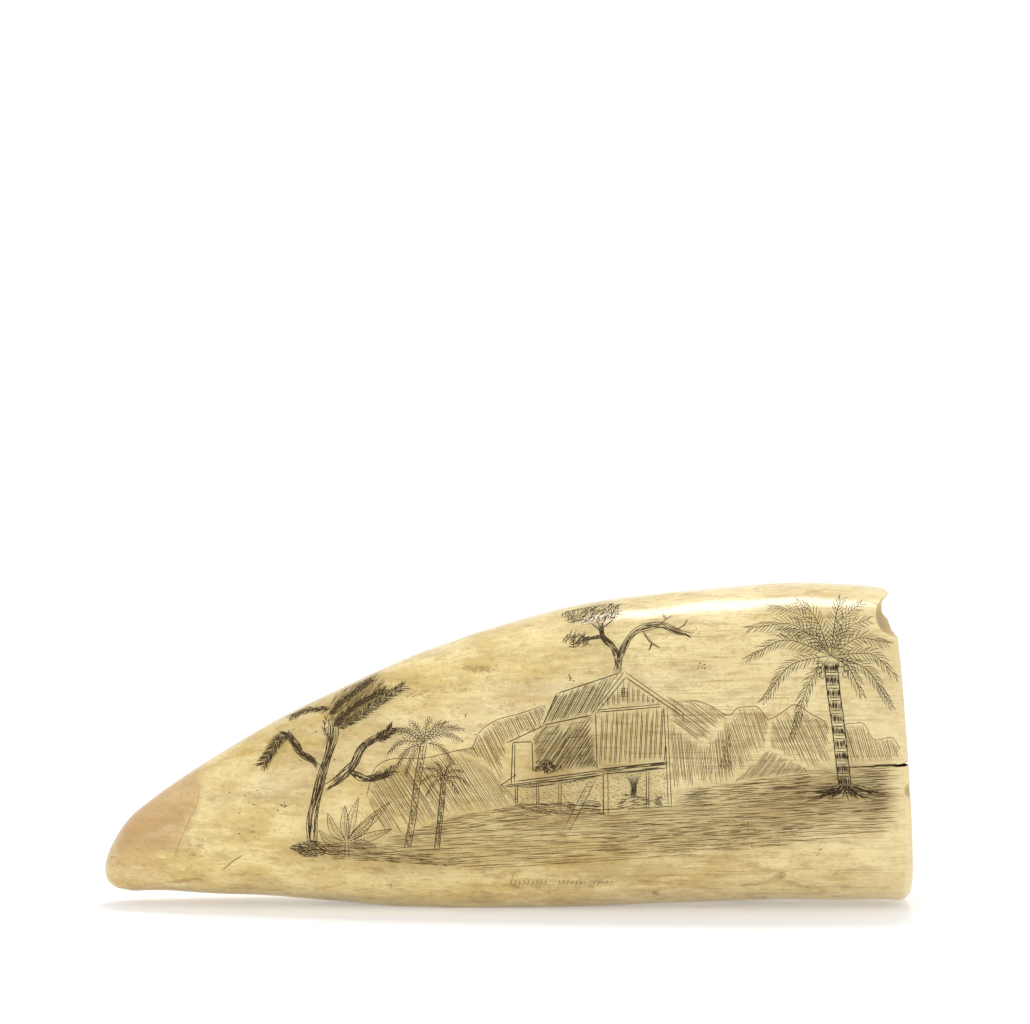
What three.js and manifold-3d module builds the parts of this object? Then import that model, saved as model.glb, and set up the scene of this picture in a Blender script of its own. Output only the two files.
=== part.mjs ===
// An engraved sperm whale tooth, lying lengthwise on its straight edge.
// Units are millimetres. X runs from the tip to the sawn root, Z is up, and the broad faces look along -Y and +Y.
// The origin is on the surface that the tooth rests on, under the middle of its bounding box.

import * as THREE from 'three';
import { mergeVertices } from 'three/addons/utils/BufferGeometryUtils.js';
import Module from 'manifold-3d';

const wasm = await Module();
wasm.setup();

// Driving dimensions of the tooth.
const toothLength = 170;
const toothHeight = 69.2;
const toothThickness = 44;
const tipRounding = 7;
const restFlatCut = 1.1;
const rootSlantDeg = 4;
// The rim of the sawn root is worn round, and most of all at its lowest corner, the heel.
const rimRounding = 1.6;
const heelRounding = 3;

// Driving dimensions of the pulp cavity, which opens in the sawn root.
const rootWall = 9;
const cavityDepth = 58;

// The two drying cracks that run in from the sawn root, one on each broad face.
// Where they meet the rim and where they end are shares of the tooth's height.
const birdCrack = { side: 1, length: 41, gap: 1.1, endDepth: 1.2, rimShare: 0.491, endShare: 0.514 };
const houseCrack = { side: -1, length: 17, gap: 0.8, endDepth: 0.8, rimShare: 0.478, endShare: 0.468 };

// The chips along the rim of the sawn root: the half sizes of each scoop along, across and up the tooth, and its
// place, all as shares of the tooth's height. The first one bites off the whole upper corner.
const chips = [
  { side: -1, up: 0.91, halfLength: 0.061, halfWidth: 0.376, halfHeight: 0.061 },
  { side: -1, up: 0.399, halfLength: 0.02, halfWidth: 0.043, halfHeight: 0.023 },
  { side: 1, up: 0.896, halfLength: 0.0145, halfWidth: 0.058, halfHeight: 0.043 },
  { side: 1, up: 0.079, halfLength: 0.02, halfWidth: 0.058, halfHeight: 0.026 },
];

// The outline seen from a broad face, as [share of the length, share of the height], from the tip to the root.
const upperOutline = [
  [0, 0.221], [0.035, 0.293], [0.083, 0.382], [0.157, 0.499], [0.231, 0.603], [0.306, 0.691], [0.38, 0.776],
  [0.454, 0.842], [0.528, 0.897], [0.6, 0.937], [0.7, 0.97], [0.8, 0.994], [0.875, 1], [0.925, 0.994], [1, 0.971],
];
const lowerOutline = [
  [0, 0.023], [0.03, 0.051], [0.06, 0.053], [0.11, 0.049], [0.18, 0.039], [0.3, 0.022], [0.37, 0.008],
  [0.44, 0], [0.52, 0], [0.6, 0.004], [0.7, 0.016], [0.85, 0.026], [1, 0.027],
];
// Half the thickness along the tooth, as [share of the length, share of half the greatest thickness].
const thicknessShares = [
  [0, 0.3], [0.035, 0.37], [0.083, 0.45], [0.157, 0.58], [0.25, 0.71], [0.35, 0.82], [0.47, 0.91],
  [0.6, 0.965], [0.75, 1], [0.9, 1], [1, 0.985],
];
// The section is round at the tip and slightly square-shouldered at the root.
const tipSquareness = 2;
const rootSquareness = 2.35;
// How the pulp cavity narrows: the power of the depth.
const cavityTaper = 1.5;
// How much closer together the cavity's rings stand near its pointed end: a power of their share of the depth.
const cavityRingPower = 1.5;

// How finely the surfaces are faceted.
const tipRings = 8;
const bodyRings = 34;
const rimRings = 9;
const cavityRings = 12;
const sidesAround = 52;
const cavitySides = 36;
const scoopSides = 20;
const scoopRings = 12;

// Stock that cutters and blanks reach past the surface that they make.
const cutterMargin = 3;

// A smooth curve through a list of [position, value] pairs, which never overshoots them (monotone cubic).
function smoothThrough(points) {
  const slopes = points.slice(1).map((p, i) => (p[1] - points[i][1]) / (p[0] - points[i][0]));
  const tangents = points.map((_, i) => {
    if (i === 0) return slopes[0];
    if (i === points.length - 1) return slopes[i - 1];
    const [before, after] = [slopes[i - 1], slopes[i]];
    return before * after <= 0 ? 0 : (2 * before * after) / (before + after);
  });
  return (x) => {
    let i = points.findIndex((p) => p[0] >= x);
    if (i === -1) i = points.length - 1;
    i = Math.max(i - 1, 0);
    const [x0, y0] = points[i];
    const [x1, y1] = points[i + 1];
    const width = x1 - x0;
    const t = (x - x0) / width;
    if (t > 1) return y1 + slopes[i] * (x - x1);
    const rise = (1 + 2 * t) * (1 - t) * (1 - t) * y0 + t * t * (3 - 2 * t) * y1;
    return rise + width * (t * (1 - t) * (1 - t) * tangents[i] - t * t * (1 - t) * tangents[i + 1]);
  };
}

const upper = smoothThrough(upperOutline);
const lower = smoothThrough(lowerOutline);
const thickness = smoothThrough(thicknessShares);

// The section of the tooth at a distance from the tip: its centre height, half height, half thickness and squareness.
function sectionAt(fromTip) {
  const share = fromTip / toothLength;
  const q = Math.min(fromTip / tipRounding, 1);
  const rounding = Math.sqrt(1 - (1 - q) * (1 - q));
  const top = upper(share) * toothHeight;
  const bottom = lower(share) * toothHeight;
  return {
    centre: (top + bottom) / 2,
    halfHeight: ((top - bottom) / 2) * rounding,
    halfThickness: ((thickness(share) * toothThickness) / 2) * rounding,
    squareness: tipSquareness + (rootSquareness - tipSquareness) * Math.min(share, 1),
  };
}

// A point on a superellipse section, at an angle from +Y towards +Z.
function pointOnSection(fromTip, section, angle) {
  const power = 2 / section.squareness;
  const [c, s] = [Math.cos(angle), Math.sin(angle)];
  return [
    fromTip,
    section.halfThickness * Math.sign(c) * Math.abs(c) ** power,
    section.centre + section.halfHeight * Math.sign(s) * Math.abs(s) ** power,
  ];
}

// How far the slanted saw cut lies from the tip, at a height on the tooth.
function sawCutAt(height) {
  const slant = THREE.MathUtils.degToRad(rootSlantDeg);
  return toothLength - (height - lower(1) * toothHeight) * Math.tan(slant);
}

// A point near the saw cut drawn in towards the middle of its section, so that the rim is round.
function wornAtRim([x, y, z], section) {
  const radius = Math.hypot(y, z - section.centre);
  const below = Math.max(0, (section.centre - z) / section.halfHeight);
  const rounding = rimRounding + (heelRounding - rimRounding) * below * below;
  const near = THREE.MathUtils.clamp(1 - (sawCutAt(z) - x) / rounding, 0, 1);
  const kept = 1 - (rounding * (1 - Math.sqrt(1 - near * near))) / radius;
  return [x, y * kept, section.centre + (z - section.centre) * kept];
}

// A closed solid skinned over rings of points, with a point on the axis at each end.
function skinnedSolid(startPoint, rings, endPoint) {
  const around = rings[0].length;
  const positions = [startPoint, ...rings.flat(), endPoint].flat();
  const last = 1 + rings.length * around;
  const index = [];
  const at = (ring, side) => 1 + ring * around + (side % around);
  for (let side = 0; side < around; side += 1) {
    index.push(0, at(0, side + 1), at(0, side));
    for (let ring = 0; ring < rings.length - 1; ring += 1) {
      index.push(at(ring, side), at(ring, side + 1), at(ring + 1, side));
      index.push(at(ring, side + 1), at(ring + 1, side + 1), at(ring + 1, side));
    }
    index.push(at(rings.length - 1, side), at(rings.length - 1, side + 1), last);
  }
  const geometry = new THREE.BufferGeometry();
  geometry.setAttribute('position', new THREE.Float32BufferAttribute(positions, 3));
  geometry.setIndex(index);
  return geometry;
}

// A three.js geometry as a solid that can be cut.
function solidOf(geometry) {
  const bare = geometry.clone();
  bare.deleteAttribute('normal');
  bare.deleteAttribute('uv');
  const merged = mergeVertices(bare);
  return new wasm.Manifold(new wasm.Mesh({
    numProp: 3,
    vertProperties: new Float32Array(merged.attributes.position.array),
    triVerts: new Uint32Array(merged.index.array),
  }));
}

// A cut solid as a three.js geometry again.
function geometryOf(solid) {
  const mesh = solid.getMesh();
  const geometry = new THREE.BufferGeometry();
  geometry.setAttribute('position', new THREE.Float32BufferAttribute(mesh.vertProperties, 3));
  geometry.setIndex(Array.from(mesh.triVerts));
  geometry.computeVertexNormals();
  return geometry;
}

// The whole tooth before it is sawn, running on a little past the root.
function toothBlank() {
  const stations = [];
  for (let i = 1; i <= tipRings; i += 1) {
    stations.push(tipRounding * (1 - Math.cos((Math.PI / 2) * (i / tipRings))));
  }
  const blankEnd = toothLength + cutterMargin;
  const rimStart = sawCutAt(toothHeight) - rimRounding;
  for (let i = 1; i <= bodyRings; i += 1) {
    stations.push(tipRounding + (rimStart - tipRounding) * (i / bodyRings));
  }
  for (let i = 1; i <= rimRings; i += 1) {
    stations.push(rimStart + (toothLength - rimStart) * (i / rimRings));
  }
  stations.push(blankEnd);
  const angles = Array.from({ length: sidesAround }, (_, i) => (2 * Math.PI * (i + 0.5)) / sidesAround);
  const rings = stations.map((s) => {
    const section = sectionAt(s);
    return angles.map((a) => wornAtRim(pointOnSection(s, section, a), section));
  });
  return skinnedSolid([0, 0, sectionAt(0).centre], rings, [blankEnd, 0, sectionAt(blankEnd).centre]);
}

// The conical pulp cavity, whose wall at the sawn root is rootWall thick.
function cavityCore() {
  const angles = Array.from({ length: cavitySides }, (_, i) => (2 * Math.PI * (i + 0.5)) / cavitySides);
  const ringAt = (fromTip, opening) => {
    const outer = sectionAt(fromTip);
    const inner = {
      ...outer,
      halfHeight: (outer.halfHeight - rootWall) * opening,
      halfThickness: (outer.halfThickness - rootWall) * opening,
    };
    return angles.map((a) => pointOnSection(fromTip, inner, a));
  };
  const apex = toothLength - cavityDepth;
  const rings = [];
  for (let i = 1; i <= cavityRings; i += 1) {
    const share = (i / cavityRings) ** cavityRingPower;
    rings.push(ringAt(apex + cavityDepth * share, 1 - (1 - share) ** cavityTaper));
  }
  const mouth = toothLength + 2 * cutterMargin;
  rings.push(ringAt(mouth, 1));
  return skinnedSolid([apex, 0, sectionAt(apex).centre], rings, [mouth, 0, sectionAt(mouth).centre]);
}

// A block that takes away everything beyond the slanted saw cut at the root.
function sawCut() {
  const slant = THREE.MathUtils.degToRad(rootSlantDeg);
  const size = 4 * toothHeight;
  const block = new THREE.BoxGeometry(size, size, size);
  block.translate(size / 2, 0, 0);
  block.rotateY(-slant);
  block.translate(toothLength, 0, lower(1) * toothHeight);
  return block;
}

// A block that rubs the flat on the underside, on which the tooth rests.
function restFlat() {
  const size = 4 * toothLength;
  const block = new THREE.BoxGeometry(size, size, size);
  block.translate(0, 0, restFlatCut - size / 2);
  return block;
}

// A crack as a thin blade: widest at the rim, where it reaches into the cavity, and closing to an edge at its end.
function crackBlade(crack) {
  const end = toothLength - crack.length;
  const beyond = toothLength + cutterMargin;
  const outside = toothThickness / 2 + cutterMargin;
  const rimInside = sectionAt(toothLength).halfThickness - rootWall - cutterMargin;
  const endInside = sectionAt(end).halfThickness - crack.endDepth;
  const rimHeight = crack.rimShare * toothHeight;
  const corners = (reach) => [
    [beyond, rimHeight - crack.gap / 2, reach[0]],
    [beyond, rimHeight + crack.gap / 2, reach[0]],
    [end, crack.endShare * toothHeight, reach[1]],
  ];
  const points = [...corners([rimInside, endInside]), ...corners([outside, outside])];
  const positions = points.flatMap(([x, z, y]) => [x, crack.side * y, z]);
  const faces = [[0, 1, 2], [5, 4, 3], [0, 2, 5], [0, 5, 3], [2, 1, 4], [2, 4, 5], [1, 0, 3], [1, 3, 4]];
  const index = faces.flatMap((f) => (crack.side > 0 ? f : [...f].reverse()));
  const blade = new THREE.BufferGeometry();
  blade.setAttribute('position', new THREE.Float32BufferAttribute(positions, 3));
  blade.setIndex(index);
  return blade;
}

// A chip as a scoop out of the outer edge of the sawn root.
function chipScoop(chip) {
  const height = chip.up * toothHeight;
  const rimX = sawCutAt(height);
  const section = sectionAt(rimX);
  const up = Math.min(Math.abs(height - section.centre) / section.halfHeight, 1);
  const y = section.halfThickness * (1 - up ** section.squareness) ** (1 / section.squareness);
  const scoop = new THREE.SphereGeometry(1, scoopSides, scoopRings);
  scoop.scale(chip.halfLength * toothHeight, chip.halfWidth * toothHeight, chip.halfHeight * toothHeight);
  scoop.translate(rimX, chip.side * y, height);
  return scoop;
}

// The finished tooth: sawn, hollowed, flattened, cracked and chipped.
function toothGeometry() {
  const cutters = [
    sawCut(),
    cavityCore(),
    restFlat(),
    crackBlade(birdCrack),
    crackBlade(houseCrack),
    ...chips.map(chipScoop),
  ];
  const solid = cutters.reduce((body, cutter) => body.subtract(solidOf(cutter)), solidOf(toothBlank()));
  return geometryOf(solid);
}

const ivory = new THREE.MeshStandardMaterial({ color: 0xdcc48c, roughness: 0.35, metalness: 0 });
const tooth = new THREE.Mesh(toothGeometry(), ivory);
tooth.name = 'tooth';
tooth.geometry.computeBoundingBox();
const bounds = tooth.geometry.boundingBox;
tooth.position.set(-(bounds.min.x + bounds.max.x) / 2, -(bounds.min.y + bounds.max.y) / 2, -bounds.min.z);

const part = new THREE.Group();
part.add(tooth);

export default part;
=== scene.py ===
# An engraved sperm whale tooth with ink in its lines, lying on its straight edge on a pale table. Shapes
# are worked out in millimetres, as distance from the tip, sideways place and height above the lowest line
# of the uncut tooth. They are put into metres in the frame where their mesh is written.

import math

import bpy
import numpy as np
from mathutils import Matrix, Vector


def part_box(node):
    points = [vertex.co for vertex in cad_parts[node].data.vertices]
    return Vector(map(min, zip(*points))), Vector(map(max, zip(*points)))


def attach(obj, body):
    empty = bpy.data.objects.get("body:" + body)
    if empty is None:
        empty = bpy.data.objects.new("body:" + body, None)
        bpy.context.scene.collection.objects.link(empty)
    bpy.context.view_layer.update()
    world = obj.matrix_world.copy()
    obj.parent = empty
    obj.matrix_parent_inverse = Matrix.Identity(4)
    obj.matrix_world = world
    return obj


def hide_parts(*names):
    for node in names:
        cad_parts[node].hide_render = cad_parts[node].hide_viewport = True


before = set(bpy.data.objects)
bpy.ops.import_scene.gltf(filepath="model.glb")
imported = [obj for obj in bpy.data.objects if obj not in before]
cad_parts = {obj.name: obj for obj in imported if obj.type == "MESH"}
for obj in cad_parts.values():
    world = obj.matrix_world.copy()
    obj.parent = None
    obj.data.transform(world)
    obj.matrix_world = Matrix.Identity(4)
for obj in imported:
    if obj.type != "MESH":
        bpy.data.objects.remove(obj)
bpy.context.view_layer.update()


# The tooth: one piece of ivory, sawn off at the root, hollow where its pulp was, and polished by hand.
# Two drying cracks run in from the sawn rim, which is worn round and chipped. A narrow flat is rubbed
# into the straight edge that it lies on.
METRES = 0.001
TOOTH_LENGTH = 170.0
TOOTH_HEIGHT = 69.2
TOOTH_THICKNESS = 44.0
TIP_ROUNDING = 7.0
REST_FLAT_CUT = 1.1
ROOT_SLANT = math.tan(math.radians(4))
RIM_ROUNDING = 1.6
HEEL_ROUNDING = 3.0
ROOT_WALL = 9.0
CAVITY_DEPTH = 58.0
CAVITY_TAPER = 1.5
COLUMNS = 380
TIP_ROWS, BODY_ROWS, RIM_ROWS, SAWN_ROWS, WALL_ROWS = 14, 175, 16, 10, 25
HOUSE_FACE, BIRD_FACE = -1, 1
TIP_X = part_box("tooth")[0].x / METRES


def smooth_through(points):
    """A smooth curve through pairs of place and value: a cubic in each span, whose end slopes are the
    harmonic mean of the slopes on both sides, or flat at a turn, so that it never overshoots."""
    place, value = np.array(points, float).T
    width = np.diff(place)
    slope = np.diff(value) / width
    before, after = slope[:-1], slope[1:]
    rising = before * after > 0
    mean = np.where(rising, 2 * before * after / np.where(rising, before + after, 1), 0)
    tangent = np.concatenate([slope[:1], mean, slope[-1:]])

    def curve(at):
        i = np.clip(np.searchsorted(place, at) - 1, 0, len(width) - 1)
        t = np.clip((at - place[i]) / width[i], 0, 1)
        rise = (1 + 2 * t) * (1 - t) ** 2 * value[i] + t ** 2 * (3 - 2 * t) * value[i + 1]
        return rise + width[i] * (t * (1 - t) ** 2 * tangent[i] - t ** 2 * (1 - t) * tangent[i + 1])

    return curve


upper_edge = smooth_through([
    (0, 0.221), (0.035, 0.293), (0.083, 0.382), (0.157, 0.499), (0.231, 0.603), (0.306, 0.691), (0.38, 0.776),
    (0.454, 0.842), (0.528, 0.897), (0.6, 0.937), (0.7, 0.97), (0.8, 0.994), (0.875, 1), (0.925, 0.994),
    (1, 0.971),
])
lower_edge = smooth_through([
    (0, 0.023), (0.03, 0.051), (0.06, 0.053), (0.11, 0.049), (0.18, 0.039), (0.3, 0.022), (0.37, 0.008),
    (0.44, 0), (0.52, 0), (0.6, 0.004), (0.7, 0.016), (0.85, 0.026), (1, 0.027),
])
thickness = smooth_through([
    (0, 0.3), (0.035, 0.37), (0.083, 0.45), (0.157, 0.58), (0.25, 0.71), (0.35, 0.82), (0.47, 0.91),
    (0.6, 0.965), (0.75, 1), (0.9, 1), (1, 0.985),
])


def signed_power(value, power):
    """The size of a value raised to a power, with the value's own sign."""
    return np.sign(value) * np.abs(value) ** power


def smooth_step(value, low, high):
    """0 below low, 1 above high, and an even S-shaped rise between them."""
    t = np.clip((value - low) / (high - low), 0, 1)
    return t * t * (3 - 2 * t)


def section_at(from_tip):
    """The oval section: centre height, half height, half thickness and the power of its superellipse, which
    goes from 2 at the tip, a true oval, to 2.35 at the root. At the very tip the sizes follow a quarter
    circle."""
    share = from_tip / TOOTH_LENGTH
    q = np.clip(from_tip / TIP_ROUNDING, 0, 1)
    rounding = np.sqrt(1 - (1 - q) ** 2)
    top = upper_edge(share) * TOOTH_HEIGHT
    bottom = lower_edge(share) * TOOTH_HEIGHT
    half_thickness = thickness(share) * TOOTH_THICKNESS / 2 * rounding
    return (top + bottom) / 2, (top - bottom) / 2 * rounding, half_thickness, 2 + 0.35 * np.clip(share, 0, 1)


def face_depth(from_tip, height):
    """How far a broad face stands out sideways at a height: t * (1 - |up| ** n) ** (1 / n)."""
    centre, half_height, half_thickness, n = section_at(from_tip)
    up = np.clip(np.abs(height - centre) / half_height, 0, 0.9999)
    return half_thickness * (1 - up ** n) ** (1 / n)


def saw_cut_at(height):
    """How far the slanted saw cut lies from the tip."""
    return TOOTH_LENGTH - (height - lower_edge(1.0) * TOOTH_HEIGHT) * ROOT_SLANT


def outward(points):
    """Unit normals of the section ovals at points near their skin: the gradient of
    |y/t| ** n + |z/h| ** n."""
    centre, half_height, half_thickness, n = section_at(points[..., 0])
    sideways = signed_power(points[..., 1] / half_thickness, n - 1) / half_thickness
    up = signed_power((points[..., 2] - centre) / half_height, n - 1) / half_height
    length = np.hypot(sideways, up)
    return np.stack([np.zeros_like(sideways), sideways / length, up / length], -1)


wave_draw = np.random.default_rng(11)
WAVE_TURNS = wave_draw.normal(size=(14, 3)) * (0.45, 1, 1) * wave_draw.uniform(0.1, 0.5, (14, 1))
WAVE_STARTS = wave_draw.uniform(0, 2 * math.pi, 14)
WAVE_HEIGHT = 0.5 / (3 + 18 * np.linalg.norm(WAVE_TURNS, axis=1))
RUBBED_LEAST, RUBBED_MEAN, RUBBED_MOST = 0.08, 0.26, 0.5


def rubbed(points):
    """Points of the ideal skin moved in along its normals, as hand rubbing leaves it: a sum of slow sine
    waves, kept between 0.08 and 0.5 mm deep."""
    waves = (np.sin(points @ WAVE_TURNS.T + WAVE_STARTS) * WAVE_HEIGHT).sum(-1)
    depth = np.clip(RUBBED_MEAN + waves, RUBBED_LEAST, RUBBED_MOST)
    fade = smooth_step(saw_cut_at(points[..., 2]) - points[..., 0], 0, 6) * smooth_step(points[..., 0], 0, 8)
    return points - outward(points) * (RUBBED_LEAST + (depth - RUBBED_LEAST) * fade)[..., None]


def even_angles(count):
    """Angles of the root's oval whose points stand evenly apart along it."""
    turn = np.linspace(0, 2 * math.pi, 8001)
    _, half_height, half_thickness, n = section_at(TOOTH_LENGTH)
    y = half_thickness * signed_power(np.cos(turn), 2 / n)
    z = half_height * signed_power(np.sin(turn), 2 / n)
    run = np.concatenate([[0], np.cumsum(np.hypot(np.diff(y), np.diff(z)))])
    return np.interp((np.arange(count) + 0.5) / count * run[-1], run, turn)


ANGLES = even_angles(COLUMNS)
CRACKS = [
    {"side": BIRD_FACE, "length": 41, "gap": 1.1, "rim": 34.0, "end": 35.6, "drop": 0.4, "wave": 0.2},
    {"side": HOUSE_FACE, "length": 17, "gap": 0.8, "rim": 33.1, "end": 32.4, "drop": 0.9, "wave": 0.1},
]
CRACK_REACH = 26
LIP_STEP = 2
CRACK_FADE = 9.0
CRACK_SEEN_INSIDE = 4.0
HAIR = 0.03


def crack_columns(crack, rim):
    """The columns of the grid that a crack pulls towards its line, and how hard it pulls each."""
    far = 1000 * (np.sign(rim[:, 1]) != crack["side"])
    middle = int(np.argmin(np.abs(rim[:, 2] - crack["rim"]) + far))
    steps = np.arange(-CRACK_REACH, CRACK_REACH + 1)
    return (middle + steps) % COLUMNS, steps, 1 - smooth_step(np.abs(steps), LIP_STEP, CRACK_REACH)


def part_lips(points, crack, line, inside, half_gap):
    """Moves a face's columns up or down so that the middle ones follow the crack's line, and stand half_gap
    off it as two lips where inside is 1, or keep their spacing where it is 0."""
    rim = points[-1] if points[-1, 0, 0] > points[0, 0, 0] else points[0]
    columns, steps, pull = crack_columns(crack, rim)
    x = points[:, columns, 0]
    z = points[:, columns, 2]
    middle = z[:, CRACK_REACH:CRACK_REACH + 1]
    moved = z + (line - middle) * pull * inside
    upward = steps * crack["side"]
    lips = line + np.clip(upward / LIP_STEP, -1, 1) * half_gap
    own = np.abs(steps) <= LIP_STEP
    moved[:, own] += (lips - moved)[:, own] * inside
    beyond = np.abs(steps) > LIP_STEP
    lip = CRACK_REACH + LIP_STEP
    room = np.abs(z[:, lip:lip + 1] - middle)
    spread = (half_gap - room) * np.sign(upward) * pull * inside
    moved[:, beyond] += spread[:, beyond]
    points[:, columns, 2] = moved
    return x, columns


def outer_skin():
    """The skin from the tip to the sawn rim: rows along the tooth, columns round its oval sections. Each
    column is stretched to end on the slanted saw cut, and the rim is drawn in by a quarter circle."""
    tip = TIP_ROUNDING * (1 - np.cos(np.linspace(0, math.pi / 2, TIP_ROWS + 1)[1:]))
    body = np.linspace(TIP_ROUNDING, TOOTH_LENGTH - HEEL_ROUNDING, BODY_ROWS + 1)[1:]
    rim = TOOTH_LENGTH - HEEL_ROUNDING * (1 - np.sin(np.linspace(0, math.pi / 2, RIM_ROWS + 1)[1:]))
    stations = np.concatenate([tip, body, rim])
    centre, half_height, _, n = section_at(TOOTH_LENGTH)
    cut = saw_cut_at(centre + half_height * signed_power(np.sin(ANGLES), 2 / n))
    x = stations[:, None] * cut / TOOTH_LENGTH
    centre, half_height, half_thickness, n = section_at(x)
    y = half_thickness * signed_power(np.cos(ANGLES), 2 / n)
    z = centre + half_height * signed_power(np.sin(ANGLES), 2 / n)
    points = np.stack([x, y, z], -1)
    for crack in CRACKS:
        end = TOOTH_LENGTH - crack["length"]
        at = points[:, 0:1, 0]
        run = np.clip((at - end) / crack["length"], 0, 1)
        wander = crack["wave"] * (np.sin(at * 0.9) + 0.7 * np.sin(at * 2.3 + 1)) * run * (1 - run) * 3
        line = crack["end"] + (crack["rim"] - crack["end"]) * run + wander
        ragged = 1 + 0.12 * np.sin(at * 3.1) + 0.1 * np.sin(at * 7.7)
        half_gap = HAIR + (crack["gap"] / 2 - HAIR) * run ** 1.1 * ragged
        inside = smooth_step(at, end - CRACK_FADE, end)
        x_near, columns = part_lips(points, crack, line, inside, half_gap)
        points[:, columns, 1] = crack["side"] * face_depth(x_near, points[:, columns, 2])
    centre, half_height, _, _ = section_at(points[..., 0])
    rise = points[..., 2] - centre
    radius = np.hypot(points[..., 1], rise)
    below = np.clip(-rise / np.maximum(half_height, 0.1), 0, 1)
    rounding = RIM_ROUNDING + (HEEL_ROUNDING - RIM_ROUNDING) * below ** 2
    near = np.clip(1 - (saw_cut_at(points[..., 2]) - points[..., 0]) / rounding, 0, 1)
    kept = 1 - rounding * (1 - np.sqrt(1 - near ** 2)) / radius
    points = rubbed(points)
    points[..., 1] *= kept
    points[..., 2] = centre + (points[..., 2] - centre) * kept
    points[..., 0] = np.minimum(points[..., 0], saw_cut_at(points[..., 2]))
    return points, near


def pulp_wall():
    """The cavity's wall from its mouth in the saw cut to near its point: ovals a wall's width inside the
    skin, times 1 - (1 - depth share) ** taper."""
    apex = TOOTH_LENGTH - CAVITY_DEPTH
    mouth = np.full(COLUMNS, TOOTH_LENGTH)
    inward = np.linspace(0, 1, WALL_ROWS + 1)[:-1, None]
    for _ in range(3):
        x = apex + (mouth - apex) * (1 - inward) ** 1.4
        centre, half_height, half_thickness, n = section_at(x)
        opening = 1 - (1 - (x - apex) / CAVITY_DEPTH) ** CAVITY_TAPER
        y = (half_thickness - ROOT_WALL) * opening * signed_power(np.cos(ANGLES), 2 / n)
        z = centre + (half_height - ROOT_WALL) * opening * signed_power(np.sin(ANGLES), 2 / n)
        mouth = saw_cut_at(z[0])
    points = np.stack([x, y, z], -1)
    for crack in CRACKS:
        depth = points[0:1, 0:1, 0] - points[:, 0:1, 0]
        run = 1 - np.clip(depth / CRACK_SEEN_INSIDE, 0, 1)
        inside = 1 - smooth_step(depth, CRACK_SEEN_INSIDE, CRACK_SEEN_INSIDE + CRACK_FADE)
        line = crack["rim"] - crack["drop"] + 0 * run
        part_lips(points, crack, line, inside, HAIR + (crack["gap"] / 2 - HAIR) * run)
    return points


def open_crack(points, crack, rim_row, mouth_row):
    """Sinks the three columns between a crack's lips: in the skin to a depth that grows towards the rim,
    and from there straight through the wall to where the crack ends in the cavity."""
    columns, steps, _ = crack_columns(crack, points[rim_row])
    between = columns[np.abs(steps) < LIP_STEP]
    end = TOOTH_LENGTH - crack["length"]
    run = np.clip((points[:rim_row + 1, between, 0] - end) / crack["length"], 0, 1)
    deep = np.where(run > 0, 0.25 + (ROOT_WALL - 1.2) * run ** 1.3, 0)
    points[:rim_row + 1, between, 1] -= crack["side"] * deep
    points[:rim_row + 1, between, 2] -= crack["drop"] * deep / ROOT_WALL
    depth = points[mouth_row, 0, 0] - points[mouth_row:, 0, 0]
    last = mouth_row + int(np.argmin(np.abs(depth - CRACK_SEEN_INSIDE)))
    rows = np.arange(rim_row, last + 1)
    share = ((rows - rim_row) / (last - rim_row))[:, None, None]
    points[rim_row:last + 1, between] = points[rim_row, between] * (1 - share) + points[last, between] * share
    hidden = np.zeros(points.shape[:2])
    hidden[:rim_row + 1, between] = np.minimum(deep, 1)
    hidden[rim_row:last, between] = 1
    return hidden


CHIPS = [
    {"side": HOUSE_FACE, "height": 63.0, "half": (4.2, 26, 4.2)},
    {"side": HOUSE_FACE, "height": 27.6, "half": (1.4, 3, 1.6)},
    {"side": BIRD_FACE, "height": 62.0, "half": (1.0, 4, 3.0)},
    {"side": BIRD_FACE, "height": 5.5, "half": (1.4, 4, 1.8)},
]
FLAKES = 46
SHARP_ANGLE = math.radians(38)


def chip_middle(side, height):
    """The place on the rim's edge that a chip's ellipsoid stands about."""
    x = saw_cut_at(height)
    return np.array([x, side * face_depth(x, height), height])


def scoop(points, side, height, half):
    """Pushes the points inside an ellipsoid on the rim's edge back, towards the tip and the middle of the
    section, until they lie on the ellipsoid. Returns how much each was moved."""
    middle = chip_middle(side, height)
    centre, _, _, _ = section_at(middle[0])
    away = np.array([-1.0, -0.25 * side, 0.25 * np.sign(centre - height)]) / half
    away /= np.linalg.norm(away)
    local = (points - middle) / half
    reach = local @ away
    room = reach ** 2 + 1 - (local ** 2).sum(-1)
    travel = np.where((local ** 2).sum(-1) < 1, -reach + np.sqrt(np.maximum(room, 0)), 0)
    points += travel[..., None] * away * half
    return np.abs(travel) * min(half)


def mesh_object(name, points, faces, smooth):
    """A mesh in the frame, in metres, from points in millimetres of the tooth."""
    mesh = bpy.data.meshes.new(name)
    placed = (points + (TIP_X, 0, -REST_FLAT_CUT)) * METRES
    mesh.from_pydata(placed.tolist(), [], faces)
    mesh.polygons.foreach_set("use_smooth", np.full(len(mesh.polygons), smooth))
    piece = bpy.data.objects.new(name, mesh)
    bpy.context.scene.collection.objects.link(piece)
    return piece


def add_attribute(piece, name, values):
    """One number for each vertex, which the piece's material reads by this name."""
    numbers = piece.data.attributes.new(name, "FLOAT", "POINT").data
    numbers.foreach_set("value", np.ravel(values).astype(np.float32))


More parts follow.
